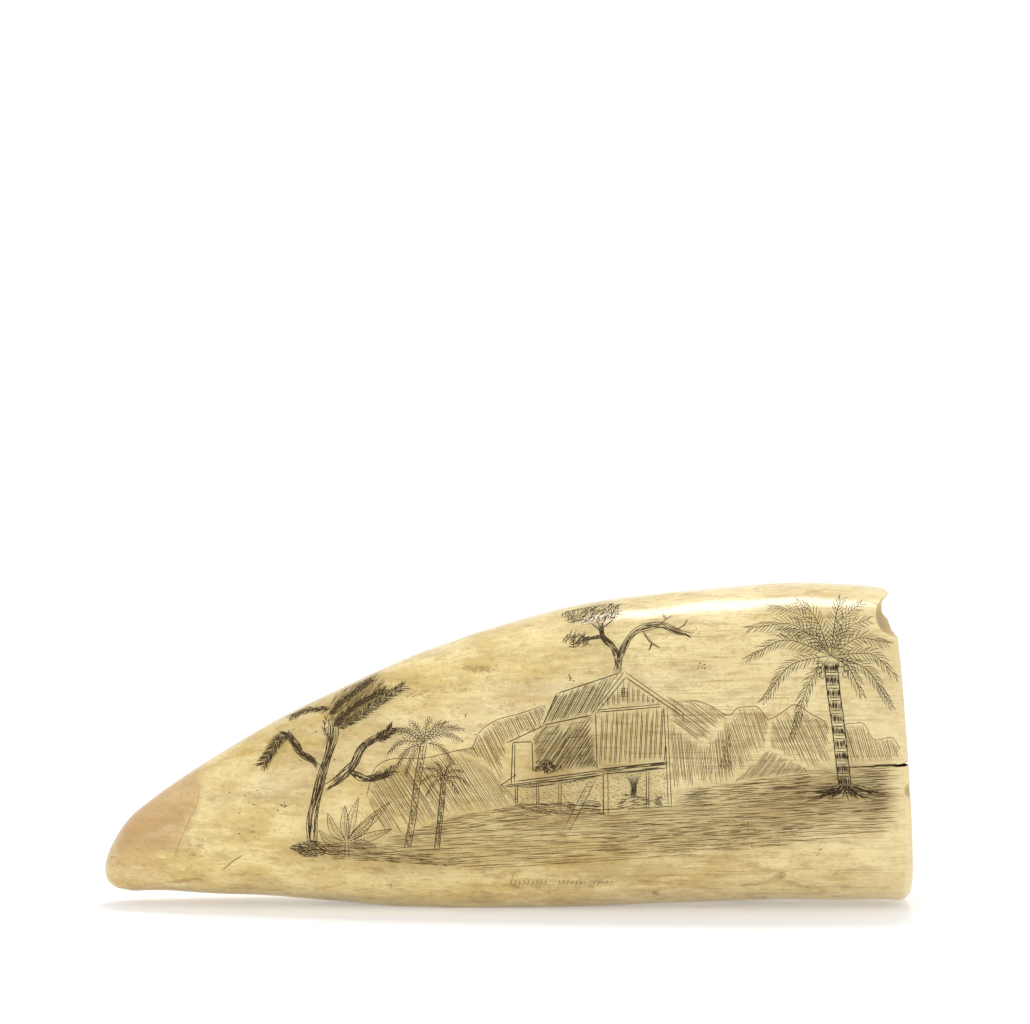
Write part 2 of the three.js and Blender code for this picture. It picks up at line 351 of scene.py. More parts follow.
def build_tooth():
    """The closed skin of the tooth: a point at the tip, the skin, the sawn face, the cavity's wall and its
    point."""
    skin, near_rim = outer_skin()
    wall = pulp_wall()
    share = np.linspace(0, 1, SAWN_ROWS + 2)[1:-1, None, None]
    sawn = skin[-1] * (1 - share) + wall[0] * share
    sawn[..., 0] = saw_cut_at(sawn[..., 2])
    points = np.concatenate([skin, sawn, wall])
    rim_row, mouth_row = len(skin) - 1, len(skin) + len(sawn)
    hidden = sum(open_crack(points, crack, rim_row, mouth_row) for crack in CRACKS)
    broken = sum(scoop(points, c["side"], c["height"], np.array(c["half"], float)) for c in CHIPS)
    draw = np.random.default_rng(5)
    for height in draw.uniform(3, 66, FLAKES):
        size = draw.uniform(0.3, 1)
        half = size * np.array([draw.uniform(0.5, 1.0), draw.uniform(0.5, 1.6), draw.uniform(0.8, 2)])
        broken = broken + 0.6 * scoop(points, draw.choice([-1, 1]), height, half)
    points[..., 2] = np.maximum(points[..., 2], REST_FLAT_CUT)
    rows = len(points)
    grid = np.arange(rows * COLUMNS).reshape(rows, COLUMNS)
    after = np.roll(grid, -1, 1)
    quads = np.stack([grid[:-1], after[:-1], after[1:], grid[1:]], -1).reshape(-1, 4)
    tip, pit = rows * COLUMNS, rows * COLUMNS + 1
    tip_fan = np.stack([np.full(COLUMNS, tip), after[0], grid[0]], -1)
    pit_fan = np.stack([grid[-1], after[-1], np.full(COLUMNS, pit)], -1)
    apex = TOOTH_LENGTH - CAVITY_DEPTH
    ends = [(0, 0, section_at(0.0)[0]), (apex, 0, section_at(apex)[0])]
    every = np.concatenate([points.reshape(-1, 3), ends])
    tooth = mesh_object("ivory_tooth", every, quads.tolist() + tip_fan.tolist() + pit_fan.tolist(), True)
    tooth.data.set_sharp_from_angle(angle=SHARP_ANGLE)
    inward = np.zeros((rows, COLUMNS))
    inward[rim_row + 1:mouth_row] = share[:, :, 0]
    inward[mouth_row:] = 1
    deep = np.zeros((rows, COLUMNS))
    deep[mouth_row:] = (points[mouth_row, :, 0] - points[mouth_row:, :, 0]) / CAVITY_DEPTH
    # How near the rounded rim each point of the skin lies, for the painted highlight along the rim.
    rim_light = np.zeros((rows, COLUMNS))
    rim_light[:rim_row + 1] = near_rim
    for name, values, at_pit in [("sawn", inward, 1), ("deep", deep, 1), ("rim_light", rim_light, 0),
                                 ("crevice", hidden, 0), ("broken", np.clip(broken, 0, 1), 0)]:
        add_attribute(tooth, name, np.append(np.ravel(values), [0, at_pit]))
    return tooth


class Wire:
    """One output of a shader node. Sums and products of wires and numbers add Math nodes."""

    def __init__(self, finish, socket):
        self.finish = finish
        self.socket = socket

    def math(self, operation, first, second=0.0):
        return self.finish.node("ShaderNodeMath", {"operation": operation}, {0: first, 1: second})

    def __add__(self, other):
        return self.math("ADD", self, other)

    __radd__ = __add__

    def __sub__(self, other):
        return self.math("SUBTRACT", self, other)

    def __rsub__(self, other):
        return self.math("SUBTRACT", other, self)

    def __mul__(self, other):
        return self.math("MULTIPLY", self, other)

    __rmul__ = __mul__

    def larger(self, other):
        return self.math("MAXIMUM", self, other)

    def sine(self):
        return self.math("SINE", self)


class Finish:
    """A material under construction. node() adds any node: settings first, then a value or a wire on each
    socket."""

    def __init__(self, name):
        self.material = bpy.data.materials.new(name)
        self.material.use_nodes = True
        self.tree = self.material.node_tree
        self.shader = self.tree.nodes["Principled BSDF"]

    def put(self, socket, value):
        if isinstance(value, Wire):
            self.tree.links.new(value.socket, socket)
        else:
            socket.default_value = value

    def node(self, kind, settings, sockets, out=0):
        node = self.tree.nodes.new(kind)
        for name, value in settings.items():
            setattr(node, name, value)
        for key, value in sockets.items():
            self.put(node.inputs[key], value)
        return Wire(self, node.outputs[out])

    def set(self, **values):
        for name, value in values.items():
            self.put(self.shader.inputs[name.replace("_", " ")], value)

    def mix(self, first, second, share):
        """A colour between two others."""
        settings = {"data_type": "RGBA", "clamp_factor": True}
        return self.node("ShaderNodeMix", settings, {0: share, 6: first, 7: second}, 2)

    def rise(self, value, low, high):
        """0 below low, 1 above high, smooth between."""
        settings = {"interpolation_type": "SMOOTHSTEP"}
        return self.node("ShaderNodeMapRange", settings, {"Value": value, "From Min": low, "From Max": high})

    def millimetres(self, stretch=(1, 1, 1), shift=(0, 0, 0)):
        """The place on the piece in millimetres, divided by a stretch along each axis."""
        at = self.node("ShaderNodeTexCoord", {}, {}, "Object")
        scale = tuple(1 / (METRES * s) for s in stretch)
        return self.node("ShaderNodeMapping", {}, {"Vector": at, "Scale": scale, "Location": shift})

    def noise(self, place, detail=3.0, roughness=0.5, distortion=0.0):
        """Smooth noise about one unit of its place wide, between 0 and 1."""
        sockets = {"Vector": place, "Scale": 1.0, "Detail": detail}
        sockets |= {"Roughness": roughness, "Distortion": distortion}
        return self.node("ShaderNodeTexNoise", {}, sockets)

    def attribute(self, name):
        return self.node("ShaderNodeAttribute", {"attribute_name": name}, {}, "Fac")

    def axes(self, place):
        """The three numbers of a place."""
        return [self.node("ShaderNodeSeparateXYZ", {}, {0: place}, i) for i in range(3)]


def paint(red, green, blue):
    """A colour as the eye names it, from 0 to 255, made linear."""
    share = np.array([red, green, blue]) / 255
    return (*np.where(share > 0.04045, ((share + 0.055) / 1.055) ** 2.4, share / 12.92), 1.0)


def ivory_finish():
    """Polished old ivory: cream and honey clouds drawn out along the tooth, greyer near the narrow edges and
    most along the lower, straight edge, partly as dirt and partly as painted shade, a tan tip behind a wavy
    line, fine grain on the root half, and a haze of ink and stains. The rounded rim has a painted highlight.
    The sawn face is dull, the cavity turns dark brown towards its point, the cracks are near black inside
    and browner at the rim, painted light where they open, and the chips are greyer."""
    ivory = Finish("polished_ivory")
    x, y, z = ivory.axes(ivory.millimetres())
    broad = ivory.noise(ivory.millimetres((30, 24, 15)), 3, 0.5)
    cloud = ivory.noise(ivory.millimetres((13, 9, 6), (3.7, 1.3, 9.1)), 4, 0.55, 0.25)
    patch = ivory.noise(ivory.millimetres((17, 9, 3.6), (8.2, 4.4, 2.6)), 5, 0.6, 0.2)
    mottle = ivory.noise(ivory.millimetres((2.8, 2.4, 1.7), (1.2, 7.7, 5.1)), 4, 0.6)
    grain = ivory.noise(ivory.millimetres((18, 0.6, 0.45), (0.4, 2.2, 6.3)), 4, 0.6)
    pores = ivory.noise(ivory.millimetres((0.7, 0.4, 0.4)), 3, 0.6)
    blotch = ivory.noise(ivory.millimetres((6.5, 4, 1.9), (5.5, 3.3, 0.7)), 5, 0.65, 0.3)
    root_half = ivory.rise(x, -10, 50)
    colour = ivory.mix(paint(222, 198, 134), paint(210, 182, 114), ivory.rise(broad, 0.4, 0.64))
    colour = ivory.mix(colour, paint(239, 220, 160), ivory.rise(cloud, 0.42, 0.64) * 0.8)
    colour = ivory.mix(colour, paint(246, 232, 184), root_half * 0.36)
    honey = ivory.rise(patch, 0.54, 0.72) * ivory.rise(broad, 0.44, 0.6)
    named = ivory.rise(ivory.attribute("honey") + (patch - 0.5) * 2.2 + (mottle - 0.5) * 0.6, 0.1, 1.0)
    colour = ivory.mix(colour, paint(188, 152, 76), honey.larger(named) * 0.62)
    colour = ivory.mix(colour, paint(172, 150, 104), ivory.rise(patch * 0.6 + mottle * 0.4, 0.5, 0.38) * 0.42)
    colour = ivory.mix(colour, paint(176, 150, 96), ivory.rise(mottle, 0.52, 0.7) * 0.46)
    low_half = 0.4 + 0.4 * ivory.rise(z, 16, 2)
    colour = ivory.mix(colour, paint(170, 136, 80), ivory.rise(blotch, 0.53, 0.68) * low_half)
    colour = ivory.mix(colour, paint(240, 222, 166), ivory.rise(blotch, 0.48, 0.34) * (0.2 + low_half * 0.6))
    colour = ivory.mix(colour, paint(152, 122, 66), ivory.rise(grain, 0.5, 0.67) * (0.12 + 0.36 * root_half))
    colour = ivory.mix(colour, paint(154, 122, 72), ivory.rise(pores, 0.54, 0.72) * 0.42)
    # Greyer near the narrow edges, most along the lower, straight edge: partly dirt streaks there, partly
    # painted shade under the tooth.
    edge = ivory.rise(ivory.attribute("edge") + (mottle - 0.5) * 0.4 + (patch - 0.5) * 0.9, 0.25, 1.0)
    colour = ivory.mix(colour, paint(150, 130, 88), edge * (0.48 - 0.2 * root_half))
    colour = ivory.mix(colour, paint(232, 214, 162), ivory.rise(x, 64, 82) * (0.2 + 0.4 * cloud))
    haze = ivory.attribute("haze") * (0.7 + 0.6 * mottle)
    colour = ivory.mix(colour, paint(132, 106, 42), ivory.rise(haze, -0.04, 0.32) * 0.66)
    stain = ivory.attribute("stain")
    speckled = stain + (mottle - 0.5) * 0.9 + (pores - 0.5) * 1.3
    spotted = ivory.rise(speckled, 0.25, 0.8) * ivory.rise(stain, 0.02, 0.12)
    colour = ivory.mix(colour, paint(140, 106, 50), spotted * 0.7)
    before = ivory.attribute("before_tip") + (cloud - 0.5) * 14 + (mottle - 0.5) * 2.5
    scene_side = ivory.rise(y, 3, -3)
    browner = scene_side.larger(ivory.rise(cloud, 0.42, 0.62) * 0.5)
    tip_tan = ivory.mix(paint(218, 176, 100), paint(184, 142, 94), browner)
    shown = 0.78 - 0.5 * scene_side * ivory.rise(z, 20, 4)
    step, fade = ivory.rise(before, -0.8, 1.6), ivory.rise(before, -7, 9)
    turned = (fade + (step - fade) * scene_side) * (0.66 + 0.34 * ivory.rise(before, 0, 16))
    colour = ivory.mix(colour, tip_tan, turned * shown)
    sawn, deep, rim_light = ivory.attribute("sawn"), ivory.attribute("deep"), ivory.attribute("rim_light")
    rings = (sawn * 34 + mottle * 3).sine() * 0.5 + 0.5
    grimy = rings * 0.35 + ivory.rise(mottle, 0.45, 0.7) * 0.4
    sawn_colour = ivory.mix(paint(206, 184, 134), paint(174, 146, 92), grimy)
    # Painted highlight: the rounded rim is painted paler, as where it catches the light.
    colour = ivory.mix(colour, paint(232, 214, 168), ivory.rise(rim_light, 0.05, 0.5) * 0.5)
    colour = ivory.mix(colour, sawn_colour, ivory.rise(sawn, 0.0, 0.06))
    # The cavity turns dark brown towards its point.
    colour = ivory.mix(colour, paint(120, 92, 54), ivory.rise(deep, 0.0, 0.5) * 0.85)
    colour = ivory.mix(colour, paint(196, 172, 122), ivory.rise(ivory.attribute("broken"), 0.1, 0.6) * 0.6)
    # The cracks are near black inside, and browner at the rounded rim, painted light where they open there.
    crevice = ivory.rise(ivory.attribute("crevice"), 0.02, 0.35)
    colour = ivory.mix(colour, ivory.mix(paint(40, 28, 18), paint(120, 84, 44), rim_light * 0.5), crevice)
    dull = ivory.rise(sawn, 0.0, 0.06).larger(crevice).larger(ivory.rise(ivory.attribute("broken"), 0.1, 0.6))
    ivory.set(Base_Color=colour, Roughness=0.17 + 0.14 * mottle + 0.45 * dull)
    bump = {"Strength": 0.22, "Distance": 0.00004, "Height": grain * 0.5 + pores * 0.5}
    ivory.set(Normal=ivory.node("ShaderNodeBump", {}, bump))
    ivory.set(IOR=1.54, Subsurface_Weight=0.12, Subsurface_Radius=(1.0, 0.6, 0.25), Subsurface_Scale=0.002)
    return ivory.material


tooth = build_tooth()
tooth.data.materials.append(ivory_finish())
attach(tooth, "root")
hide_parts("tooth")


# The sea of ground under the picture on the house face: long flat scratches with brown-black ink rubbed
# into them. Here too is the graver, which every later piece of engraving uses. A stroke is a closed
# sliver with a flat top in the ivory's skin and a keel below it, pointed at both ends.
STROKE_LIFT = 0.02
HAND_PRESSURE = 0.63
STROKE_DEPTH = 0.07
EDGE_REACH = 0.985
RIM_CLEARANCE = 0.8
CHIP_CLEARANCE = 1.1
EYES = {HOUSE_FACE: (86.6, 899.0, 131.0), BIRD_FACE: (85.0, 899.0, 35.0)}
inked = {HOUSE_FACE: [], BIRD_FACE: []}


def on_face(face, flat):
    """Points of a flat drawing, as distance from the tip and height, moved along their line to the eye
    until they meet a broad face of the tooth. An eye's numbers are its distance from the tip, its distance
    out from the tooth's middle, and its height."""
    eye = np.array(EYES[face])
    at = flat
    for _ in range(4):
        centre, half_height, _, _ = section_at(at[..., 0])
        height = centre + np.clip((at[..., 1] - centre) / half_height, -EDGE_REACH, EDGE_REACH) * half_height
        nearer = face_depth(at[..., 0], height) / eye[1]
        at = flat + (eye[::2] - flat) * nearer[..., None]
    height = centre + np.clip((at[..., 1] - centre) / half_height, -EDGE_REACH, EDGE_REACH) * half_height
    return np.stack([at[..., 0], face * face_depth(at[..., 0], height), height], -1)


def broken_off(points):
    """Whether ivory is missing at points of the skin: at the sawn rim, or in a chip."""
    missing = saw_cut_at(points[..., 2]) - points[..., 0] < RIM_CLEARANCE
    for chip in CHIPS:
        local = (points - chip_middle(chip["side"], chip["height"])) / chip["half"]
        missing |= (local ** 2).sum(-1) < CHIP_CLEARANCE
    return missing


def ink_finish():
    """Brown-black ink, matt, thinner and browner where a stroke was cut lightly."""
    ink = Finish("rubbed_ink")
    thin = ink.noise(ink.millimetres((0.8, 0.8, 0.8)), 2)
    tone = ink.rise(ink.attribute("tone") + 0.3 * thin, 0.15, 1.1)
    ink.set(Base_Color=ink.mix(paint(128, 104, 60), paint(52, 40, 25), tone), Roughness=0.75 - 0.15 * thin)
    ink.set(Specular_IOR_Level=0.12)
    return ink.material


INK = ink_finish()


class Graver:
    """Cuts the strokes of one piece of engraving into one face, and makes them one mesh. Smear is how much
    ink was left in the ivory round them."""

    def __init__(self, face, seed, smear=0.25):
        self.face = face
        self.smear = smear
        self.draw = np.random.default_rng(seed)
        self.cuts = []

    def cut(self, lines, width, tone, shake=0.05, taper=0.2):
        """Adds strokes: lines is strokes by steps by 2. The hand shakes a little, and each stroke thins to
        its ends over the taper's share of its length."""
        lines = lines if lines.ndim == 3 else lines[None]
        count, steps = lines.shape[:2]
        along = np.linspace(0, 1, steps)
        drift = self.draw.normal(0, shake, (count, 1, 2)) * along[:, None]
        tremble = self.draw.normal(0, shake * 0.35, (count, steps, 2))
        pressed = width * HAND_PRESSURE * self.draw.uniform(0.75, 1.2, (count, 1))
        widths = pressed * np.clip(np.minimum(along, 1 - along) / taper, 0.15, 1)
        tones = np.clip(tone + self.draw.normal(0, 0.09, (count, 1)), 0, 1) + np.zeros(steps)
        self.cuts.append((lines + drift + tremble, widths, tones))

    def hatch(self, outline, angle, gap, length, width, tone, uneven=0.3, filled=0.9, steps=5, **hand):
        """Fills a closed outline with parallel strokes at an angle, a gap apart and about a length long.
        The hand is the shake and the taper that cut() takes."""
        lines = across(outline, angle, gap, self.draw, uneven)
        self.cut(dashes(*lines, length, self.draw, filled, steps), width, tone, **hand)

    def finish(self, name):
        """Makes the mesh: at each step of a stroke the two edges of its flat top and the keel below it."""
        points, faces, tones, first = [], [], [], 0
        for lines, widths, tone in self.cuts:
            flat = on_face(self.face, lines)
            kept = ~broken_off(flat).any(1)
            flat, widths, tone = flat[kept], widths[kept], tone[kept]
            count, steps = widths.shape
            skin = rubbed(flat)
            up = outward(flat)
            ahead = np.gradient(skin, axis=1)
            aside = np.cross(ahead, up)
            aside *= (widths / 2 / np.maximum(np.linalg.norm(aside, axis=-1), 1e-6))[..., None]
            top = skin + up * STROKE_LIFT
            rings = np.stack([top - aside, top + aside, skin - up * STROKE_DEPTH], 2)
            index = first + np.arange(count * steps * 3).reshape(count, steps, 3)
            turned = np.roll(index, -1, 2)
            sides = np.stack([index[:, :-1], turned[:, :-1], turned[:, 1:], index[:, 1:]], -1)
            faces += sides.reshape(-1, 4).tolist() + index[:, 0, ::-1].tolist() + index[:, -1].tolist()
            points.append(rings.reshape(-1, 3))
            tones.append(np.repeat(tone.ravel(), 3))
            length = np.linalg.norm(ahead, axis=-1)
            left = widths * length * tone * self.smear
            inked[self.face].append(np.stack([flat[..., 0], flat[..., 2], left], -1).reshape(-1, 3))
            first += count * steps * 3
        piece = mesh_object(name, np.concatenate(points), faces, False)
        add_attribute(piece, "tone", np.concatenate(tones))
        piece.data.materials.append(INK)
        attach(piece, "root")


def curve(points, steps=24):
    """A smooth curve through points, with even steps along it."""
    points = np.array(points, float)
    run = np.concatenate([[0], np.cumsum(np.linalg.norm(np.diff(points, axis=0), axis=1))])
    at = np.linspace(0, run[-1], steps)
    return np.stack([smooth_through(np.stack([run, points[:, i]], 1))(at) for i in (0, 1)], -1)


def straight(starts, ends, steps=5):
    """Straight strokes from starts to ends."""
    share = np.linspace(0, 1, steps)[:, None]
    return starts[:, None] * (1 - share) + ends[:, None] * share


def across(outline, angle, gap, draw, uneven):
    """Parallel lines at an angle through a closed outline, a gap apart: each line's crossings with the
    outline's sides are sorted, and each pair of them is one line."""
    ahead = np.array([math.cos(math.radians(angle)), math.sin(math.radians(angle))])
    aside = np.array([-ahead[1], ahead[0]])
    corners = np.array(outline, float)
    after = np.roll(corners, -1, 0)
    level = corners @ aside
    next_level = after @ aside
    levels = np.arange(level.min() + gap / 2, level.max(), gap)
    levels = (levels + draw.uniform(-uneven, uneven, len(levels)) * gap)[:, None]
    crosses = (level > levels) != (next_level > levels)
    share = (levels - level) / np.where(crosses, next_level - level, 1)
    place = np.where(crosses, corners @ ahead + share * ((after - corners) @ ahead), np.inf)
    place = np.sort(np.concatenate([place, np.full((len(levels), place.shape[1] % 2), np.inf)], 1), 1)
    begins, stops = place[:, 0::2], place[:, 1::2]
    real = np.isfinite(stops)
    offsets = np.broadcast_to(levels, begins.shape)[real][:, None] * aside
    return begins[real][:, None] * ahead + offsets, stops[real][:, None] * ahead + offsets


def dashes(starts, ends, length, draw, filled, steps):
    """Long lines broken into strokes of about a length, each with a small gap and a slight bow."""
    whole = np.linalg.norm(ends - starts, axis=1)
    parts = np.maximum(1, np.round(whole / length * draw.uniform(0.7, 1.3, len(whole)))).astype(int)
    owner = np.repeat(np.arange(len(whole)), parts)
    order = np.arange(len(owner)) - np.repeat(np.cumsum(parts) - parts, parts)
    share = (order + draw.uniform(0, 1 - filled * 0.9, len(owner))) / parts[owner]
    until = share + filled * draw.uniform(0.7, 1.05, len(owner)) / parts[owner]
    run = ends[owner] - starts[owner]
    begins = starts[owner] + run * share[:, None]
    stops = starts[owner] + run * np.minimum(until, 1)[:, None]
    lines = straight(begins, stops, steps)
    bow = draw.normal(0, 0.012, len(owner)) * np.linalg.norm(lines[:, -1] - lines[:, 0], axis=1)
    lines[..., 1] += bow[:, None] * 4 * np.linspace(0, 1, steps) * np.linspace(1, 0, steps)
    return lines


ground = Graver(HOUSE_FACE, 21, 1.5)
GROUND = [
    (38.5, 12.4), (45, 14.0), (58, 14.2), (72, 19.4), (87, 22.2), (104, 21.2), (119.5, 22), (120.5, 25.2),
    (132, 26.6), (147, 29.0), (156, 30.2), (167.6, 31.0), (168.2, 24), (167.2, 16.6), (150.4, 14.3),
    (138.7, 12.6), (117.2, 11.0), (100, 9.4), (87, 8.7), (76, 8.7), (66, 9.4), (50, 10.8),
]
ground.hatch(GROUND, 3, 0.29, 11, 0.16, 0.36, uneven=0.5, filled=0.88, steps=9, shake=0.09)
GROUND_SHADES = [
    ([(37, 12.8), (46, 13.9), (60, 13.0), (71, 11.4), (69, 9.2), (52, 10.4), (42, 11.0)], -3, 0.375, 0.71),
    ([(44, 12.2), (60, 11.6), (78, 10.4), (77, 8.9), (66, 9.4), (50, 10.8)], -4, 0.325, 0.81),
    ([(58, 14.6), (72, 19.2), (84, 21.6), (96, 20), (90, 17.6), (70, 15.4)], 9, 0.525, 0.46),
    ([(121, 24.8), (134, 26.4), (150, 28.4), (150, 24), (134, 21.5), (122, 22)], 4, 0.45, 0.61),
    ([(140, 26), (166, 29.5), (167, 21), (150, 19.6), (138, 21)], 5, 0.45, 0.66),
    ([(104, 18), (134, 20), (152, 19), (150, 14.8), (130, 12.6), (104, 12.0)], 3, 0.6, 0.56),
]
for outline, angle, gap, tone in GROUND_SHADES:
    ground.hatch(outline, angle, gap, 7, 0.18, tone, uneven=0.5, filled=0.6, steps=6)
ground.finish("engraved_ground")


# The hills behind the house and the palms: faceted slopes, hatched lightly, each facet in a direction of
# its own. Their ink is the thinnest on the tooth.
FACET_CLOSENESS = 0.74
hills = Graver(HOUSE_FACE, 22, 0.32)
HILL_FACETS = [
    ([(55.1, 23.4), (57.3, 30.2), (61.2, 31.9), (66.6, 32), (74.5, 33.6), (80, 31), (88, 22.2), (72, 19.4),
     (60, 15.2)], -58, 0.46),
    ([(74.5, 33.6), (77.3, 34.2), (79.2, 37.6), (82.5, 40), (88, 41.6), (93, 43.2), (92.6, 38.6), (85, 35),
     (84, 27), (80, 31.4)], -64, 0.44),
    ([(118.4, 45.6), (122, 43.8), (124, 44.2), (128, 43), (131.6, 41), (126.5, 34.5), (119.4, 40)], -38,
     0.42),
    ([(119.2, 39.8), (126.4, 34.3), (131.4, 40.6), (132.4, 36), (132.4, 26.8), (120.2, 25.4)], -84, 0.44),
    ([(131.8, 40.9), (133.8, 42.7), (137.3, 43), (140.2, 40.2), (139.4, 34), (132.4, 27.4), (129.6, 30.4)],
     -72, 0.46),
    ([(140.4, 40.2), (143, 41.7), (145.6, 43.3), (149.2, 41.2), (152.6, 39.6), (153.6, 30), (149.6, 29.4),
     (140.6, 34.4)], -66, 0.44),
    ([(140.2, 33.9), (132.8, 26.8), (149.4, 29.2)], 52, 0.4),
    ([(155.6, 39.2), (159.6, 39.5), (162.8, 35.8), (165.6, 36.4), (167.6, 34), (167.4, 31.6),
     (156.6, 30.6)], -74, 0.46),
]
for outline, angle, gap in HILL_FACETS:
    gap *= FACET_CLOSENESS
    hills.hatch(outline, angle, gap, 40, 0.18, 0.42, filled=0.98, steps=14, shake=0.02, taper=0.1)
SKYLINES = [
    [(55.1, 23.4), (57.3, 30.2), (61.2, 31.9), (66.6, 32), (74.5, 33.6), (77.3, 34.2), (79.2, 37.6),
     (82.5, 40), (88, 41.6), (92.8, 43.2)],
    [(122, 43.8), (124, 44.2), (128, 43), (131.7, 41), (133.8, 42.7), (137.3, 43), (140.3, 40.2),
     (143, 41.7), (145.6, 43.3), (149.4, 41.1), (152.4, 39.6)],
    [(155.8, 39.1), (159.6, 39.5), (162.8, 35.8), (165.8, 36.4), (168, 33.9)],
]
for skyline in SKYLINES:
    hills.cut(curve(skyline, 46), 0.2, 0.6, 0.02, 0.03)
hills.finish("engraved_hills")


# The house: a boarded gable on posts with a hatched roof, a dark side wall, a floor that runs on as a
# platform, and a ladder. Its lines are ruled and its shade is hatched, all in ink.
house = Graver(HOUSE_FACE, 23, 0.7)


def directions(angles):
    """The unit directions at angles in radians, and those square to them."""
    ahead = np.stack([np.cos(angles), np.sin(angles)], -1)[:, None]
    return ahead, np.stack([-ahead[..., 1], ahead[..., 0]], -1)


def sprigs(starts, angles, lengths, bend=0.0, steps=5):
    """Strokes from their starts at angles in radians, whose ends sag sideways by bend times their length."""
    t = np.linspace(0, 1, steps)[:, None]
    ahead, aside = directions(angles)
    length = np.broadcast_to(lengths, len(starts))[:, None, None]
    sag = np.broadcast_to(bend, len(starts))[:, None, None]
    return starts[:, None] + ahead * length * t + aside * length * sag * t ** 2


def scatter(outline, gap, draw, shake=0.45):
    """Points about a gap apart in a closed outline: a staggered grid, shaken, and kept where a line to the
    right crosses the outline's sides an odd number of times."""
    corners = np.array(outline, float)
    after = np.roll(corners, -1, 0)
    low, high = corners.min(0), corners.max(0)
    spots = np.stack(np.meshgrid(np.arange(low[0], high[0], gap), np.arange(low[1], high[1], gap)), -1)
    spots[1::2, :, 0] += gap / 2
    spots = spots.reshape(-1, 2)
    spots += draw.uniform(-shake, shake, spots.shape) * gap
    level = spots[:, 1:2]
    crosses = (corners[:, 1] > level) != (after[:, 1] > level)
    share = (level - corners[:, 1]) / np.where(crosses, after[:, 1] - corners[:, 1], 1)
    reach = corners[:, 0] + share * (after[:, 0] - corners[:, 0])
    return spots[(crosses & (spots[:, 0:1] < reach)).sum(1) % 2 == 1]


APEX, RIGHT_EAVE, LEFT_EAVE = (109.7, 50.4), (122.0, 41.6), (102.7, 41.2)
ROOF = [(108.6, 50.2), (95.4, 45.6), (92.5, 39.1), (102.8, 41.2)]
FRONT = [(104.1, 41.8), (117.8, 42.8), (118.6, 31.2), (104.2, 29.9)]
SIDE_WALL = [(92.7, 38.9), (103.0, 41.0), (103.8, 30.2), (96.2, 29.1), (90.8, 29.1), (90.4, 36.3)]
SIDE_SHADE = [(98.6, 40.0), (103.2, 40.8), (103.8, 30.0), (95.4, 29.1), (94.0, 31.0)]
GABLE = [(109.8, 49.1), (104.2, 42.8), (117.2, 43.7)]
HOUSE_LINES = [
    (APEX, RIGHT_EAVE), ((109.9, 49.2), (121.6, 41.1)), (RIGHT_EAVE, (122.1, 39.9)), (APEX, LEFT_EAVE),
    ((110.0, 49.2), (103.8, 41.6)), ((108.9, 50.2), (95.4, 45.7)), ((95.4, 45.7), (92.5, 39.0)),
    ((92.5, 39.0), (102.8, 41.1)), ((103.6, 42.2), (117.4, 43.4)), ((103.6, 41.7), (117.6, 42.9)),
    ((118.0, 43.2), (119.0, 21.6)), ((118.7, 42.8), (119.7, 21.5)), ((103.6, 41.7), (104.0, 29.6)),
    ((104.0, 29.6), (119.0, 31.2)), ((104.0, 29.1), (118.9, 30.7)), ((86.6, 27.0), (104.8, 29.4)),
    ((83.4, 26.0), (105.2, 28.9)), ((83.6, 25.7), (105.0, 28.4)), ((105.2, 28.6), (118.8, 29.9)),
    ((83.4, 26.0), (87.0, 28.6)), ((85.8, 26.4), (86.1, 35.3)), ((86.5, 26.8), (86.6, 35.3)),
    ((84.8, 35.2), (92.7, 38.9)), ((86.1, 35.3), (90.2, 35.5)), ((90.2, 35.5), (90.4, 29.0)),
    ((86.7, 22.2), (105.4, 21.8)), ((86.7, 22.0), (94.4, 20.1)), ((94.4, 20.1), (105.8, 20.1)),
    ((87.2, 21.5), (94.6, 19.7)), ((105.2, 29.2), (105.3, 19.8)), ((106.2, 29.2), (106.3, 19.8)),
]
ruled = np.array(HOUSE_LINES)
house.cut(straight(ruled[:, 0], ruled[:, 1], 26), 0.27, 0.88, 0.03, 0.06)
boards = np.stack(across(FRONT, 87, 1.05, house.draw, 0.06))
gable_boards = np.stack(across(GABLE, 90, 1.05, house.draw, 0.06))
for shift in (0, 0.3):
    house.cut(dashes(*(boards + (shift, 0)), 40, house.draw, 0.98, 14), 0.19, 0.72, 0.02, 0.05)
    house.cut(dashes(*(gable_boards + (shift, 0)), 40, house.draw, 0.96, 6), 0.19, 0.72, 0.02, 0.05)
house.hatch(ROOF, 62, 0.31, 24, 0.2, 0.7, uneven=0.35, filled=0.98, steps=12, shake=0.03, taper=0.06)
house.hatch(SIDE_WALL, 56, 0.33, 24, 0.18, 0.62, uneven=0.35, filled=0.98, steps=14, shake=0.03, taper=0.06)
house.hatch(SIDE_SHADE, 60, 0.4, 9, 0.17, 0.66, uneven=0.4, steps=8, shake=0.03)
house.hatch(SIDE_WALL, 8, 1.6, 5, 0.16, 0.6, uneven=0.5, filled=0.6)
DECK_EDGES = [
    ([(83.2, 25.9), (105.1, 29.0), (105.0, 27.8), (98, 26.7), (88, 25.4)], 7.5),
    ([(104.4, 29.7), (118.9, 31.1), (118.8, 30.2), (113.4, 28.7), (105.4, 28.5)], 5.5),
]
for edge, angle in DECK_EDGES:
    house.hatch(edge, angle, 0.24, 6, 0.18, 0.8, uneven=0.4, filled=0.85, steps=6, shake=0.03)
DECK_BUSH = [(90.6, 29.1), (91.6, 30.6), (93.6, 31.2), (95.6, 30.4), (96.4, 29.2), (93.4, 28.4)]
bush_spots = scatter(DECK_BUSH, 0.34, house.draw)
bush_turns = house.draw.uniform(0, math.pi, len(bush_spots))
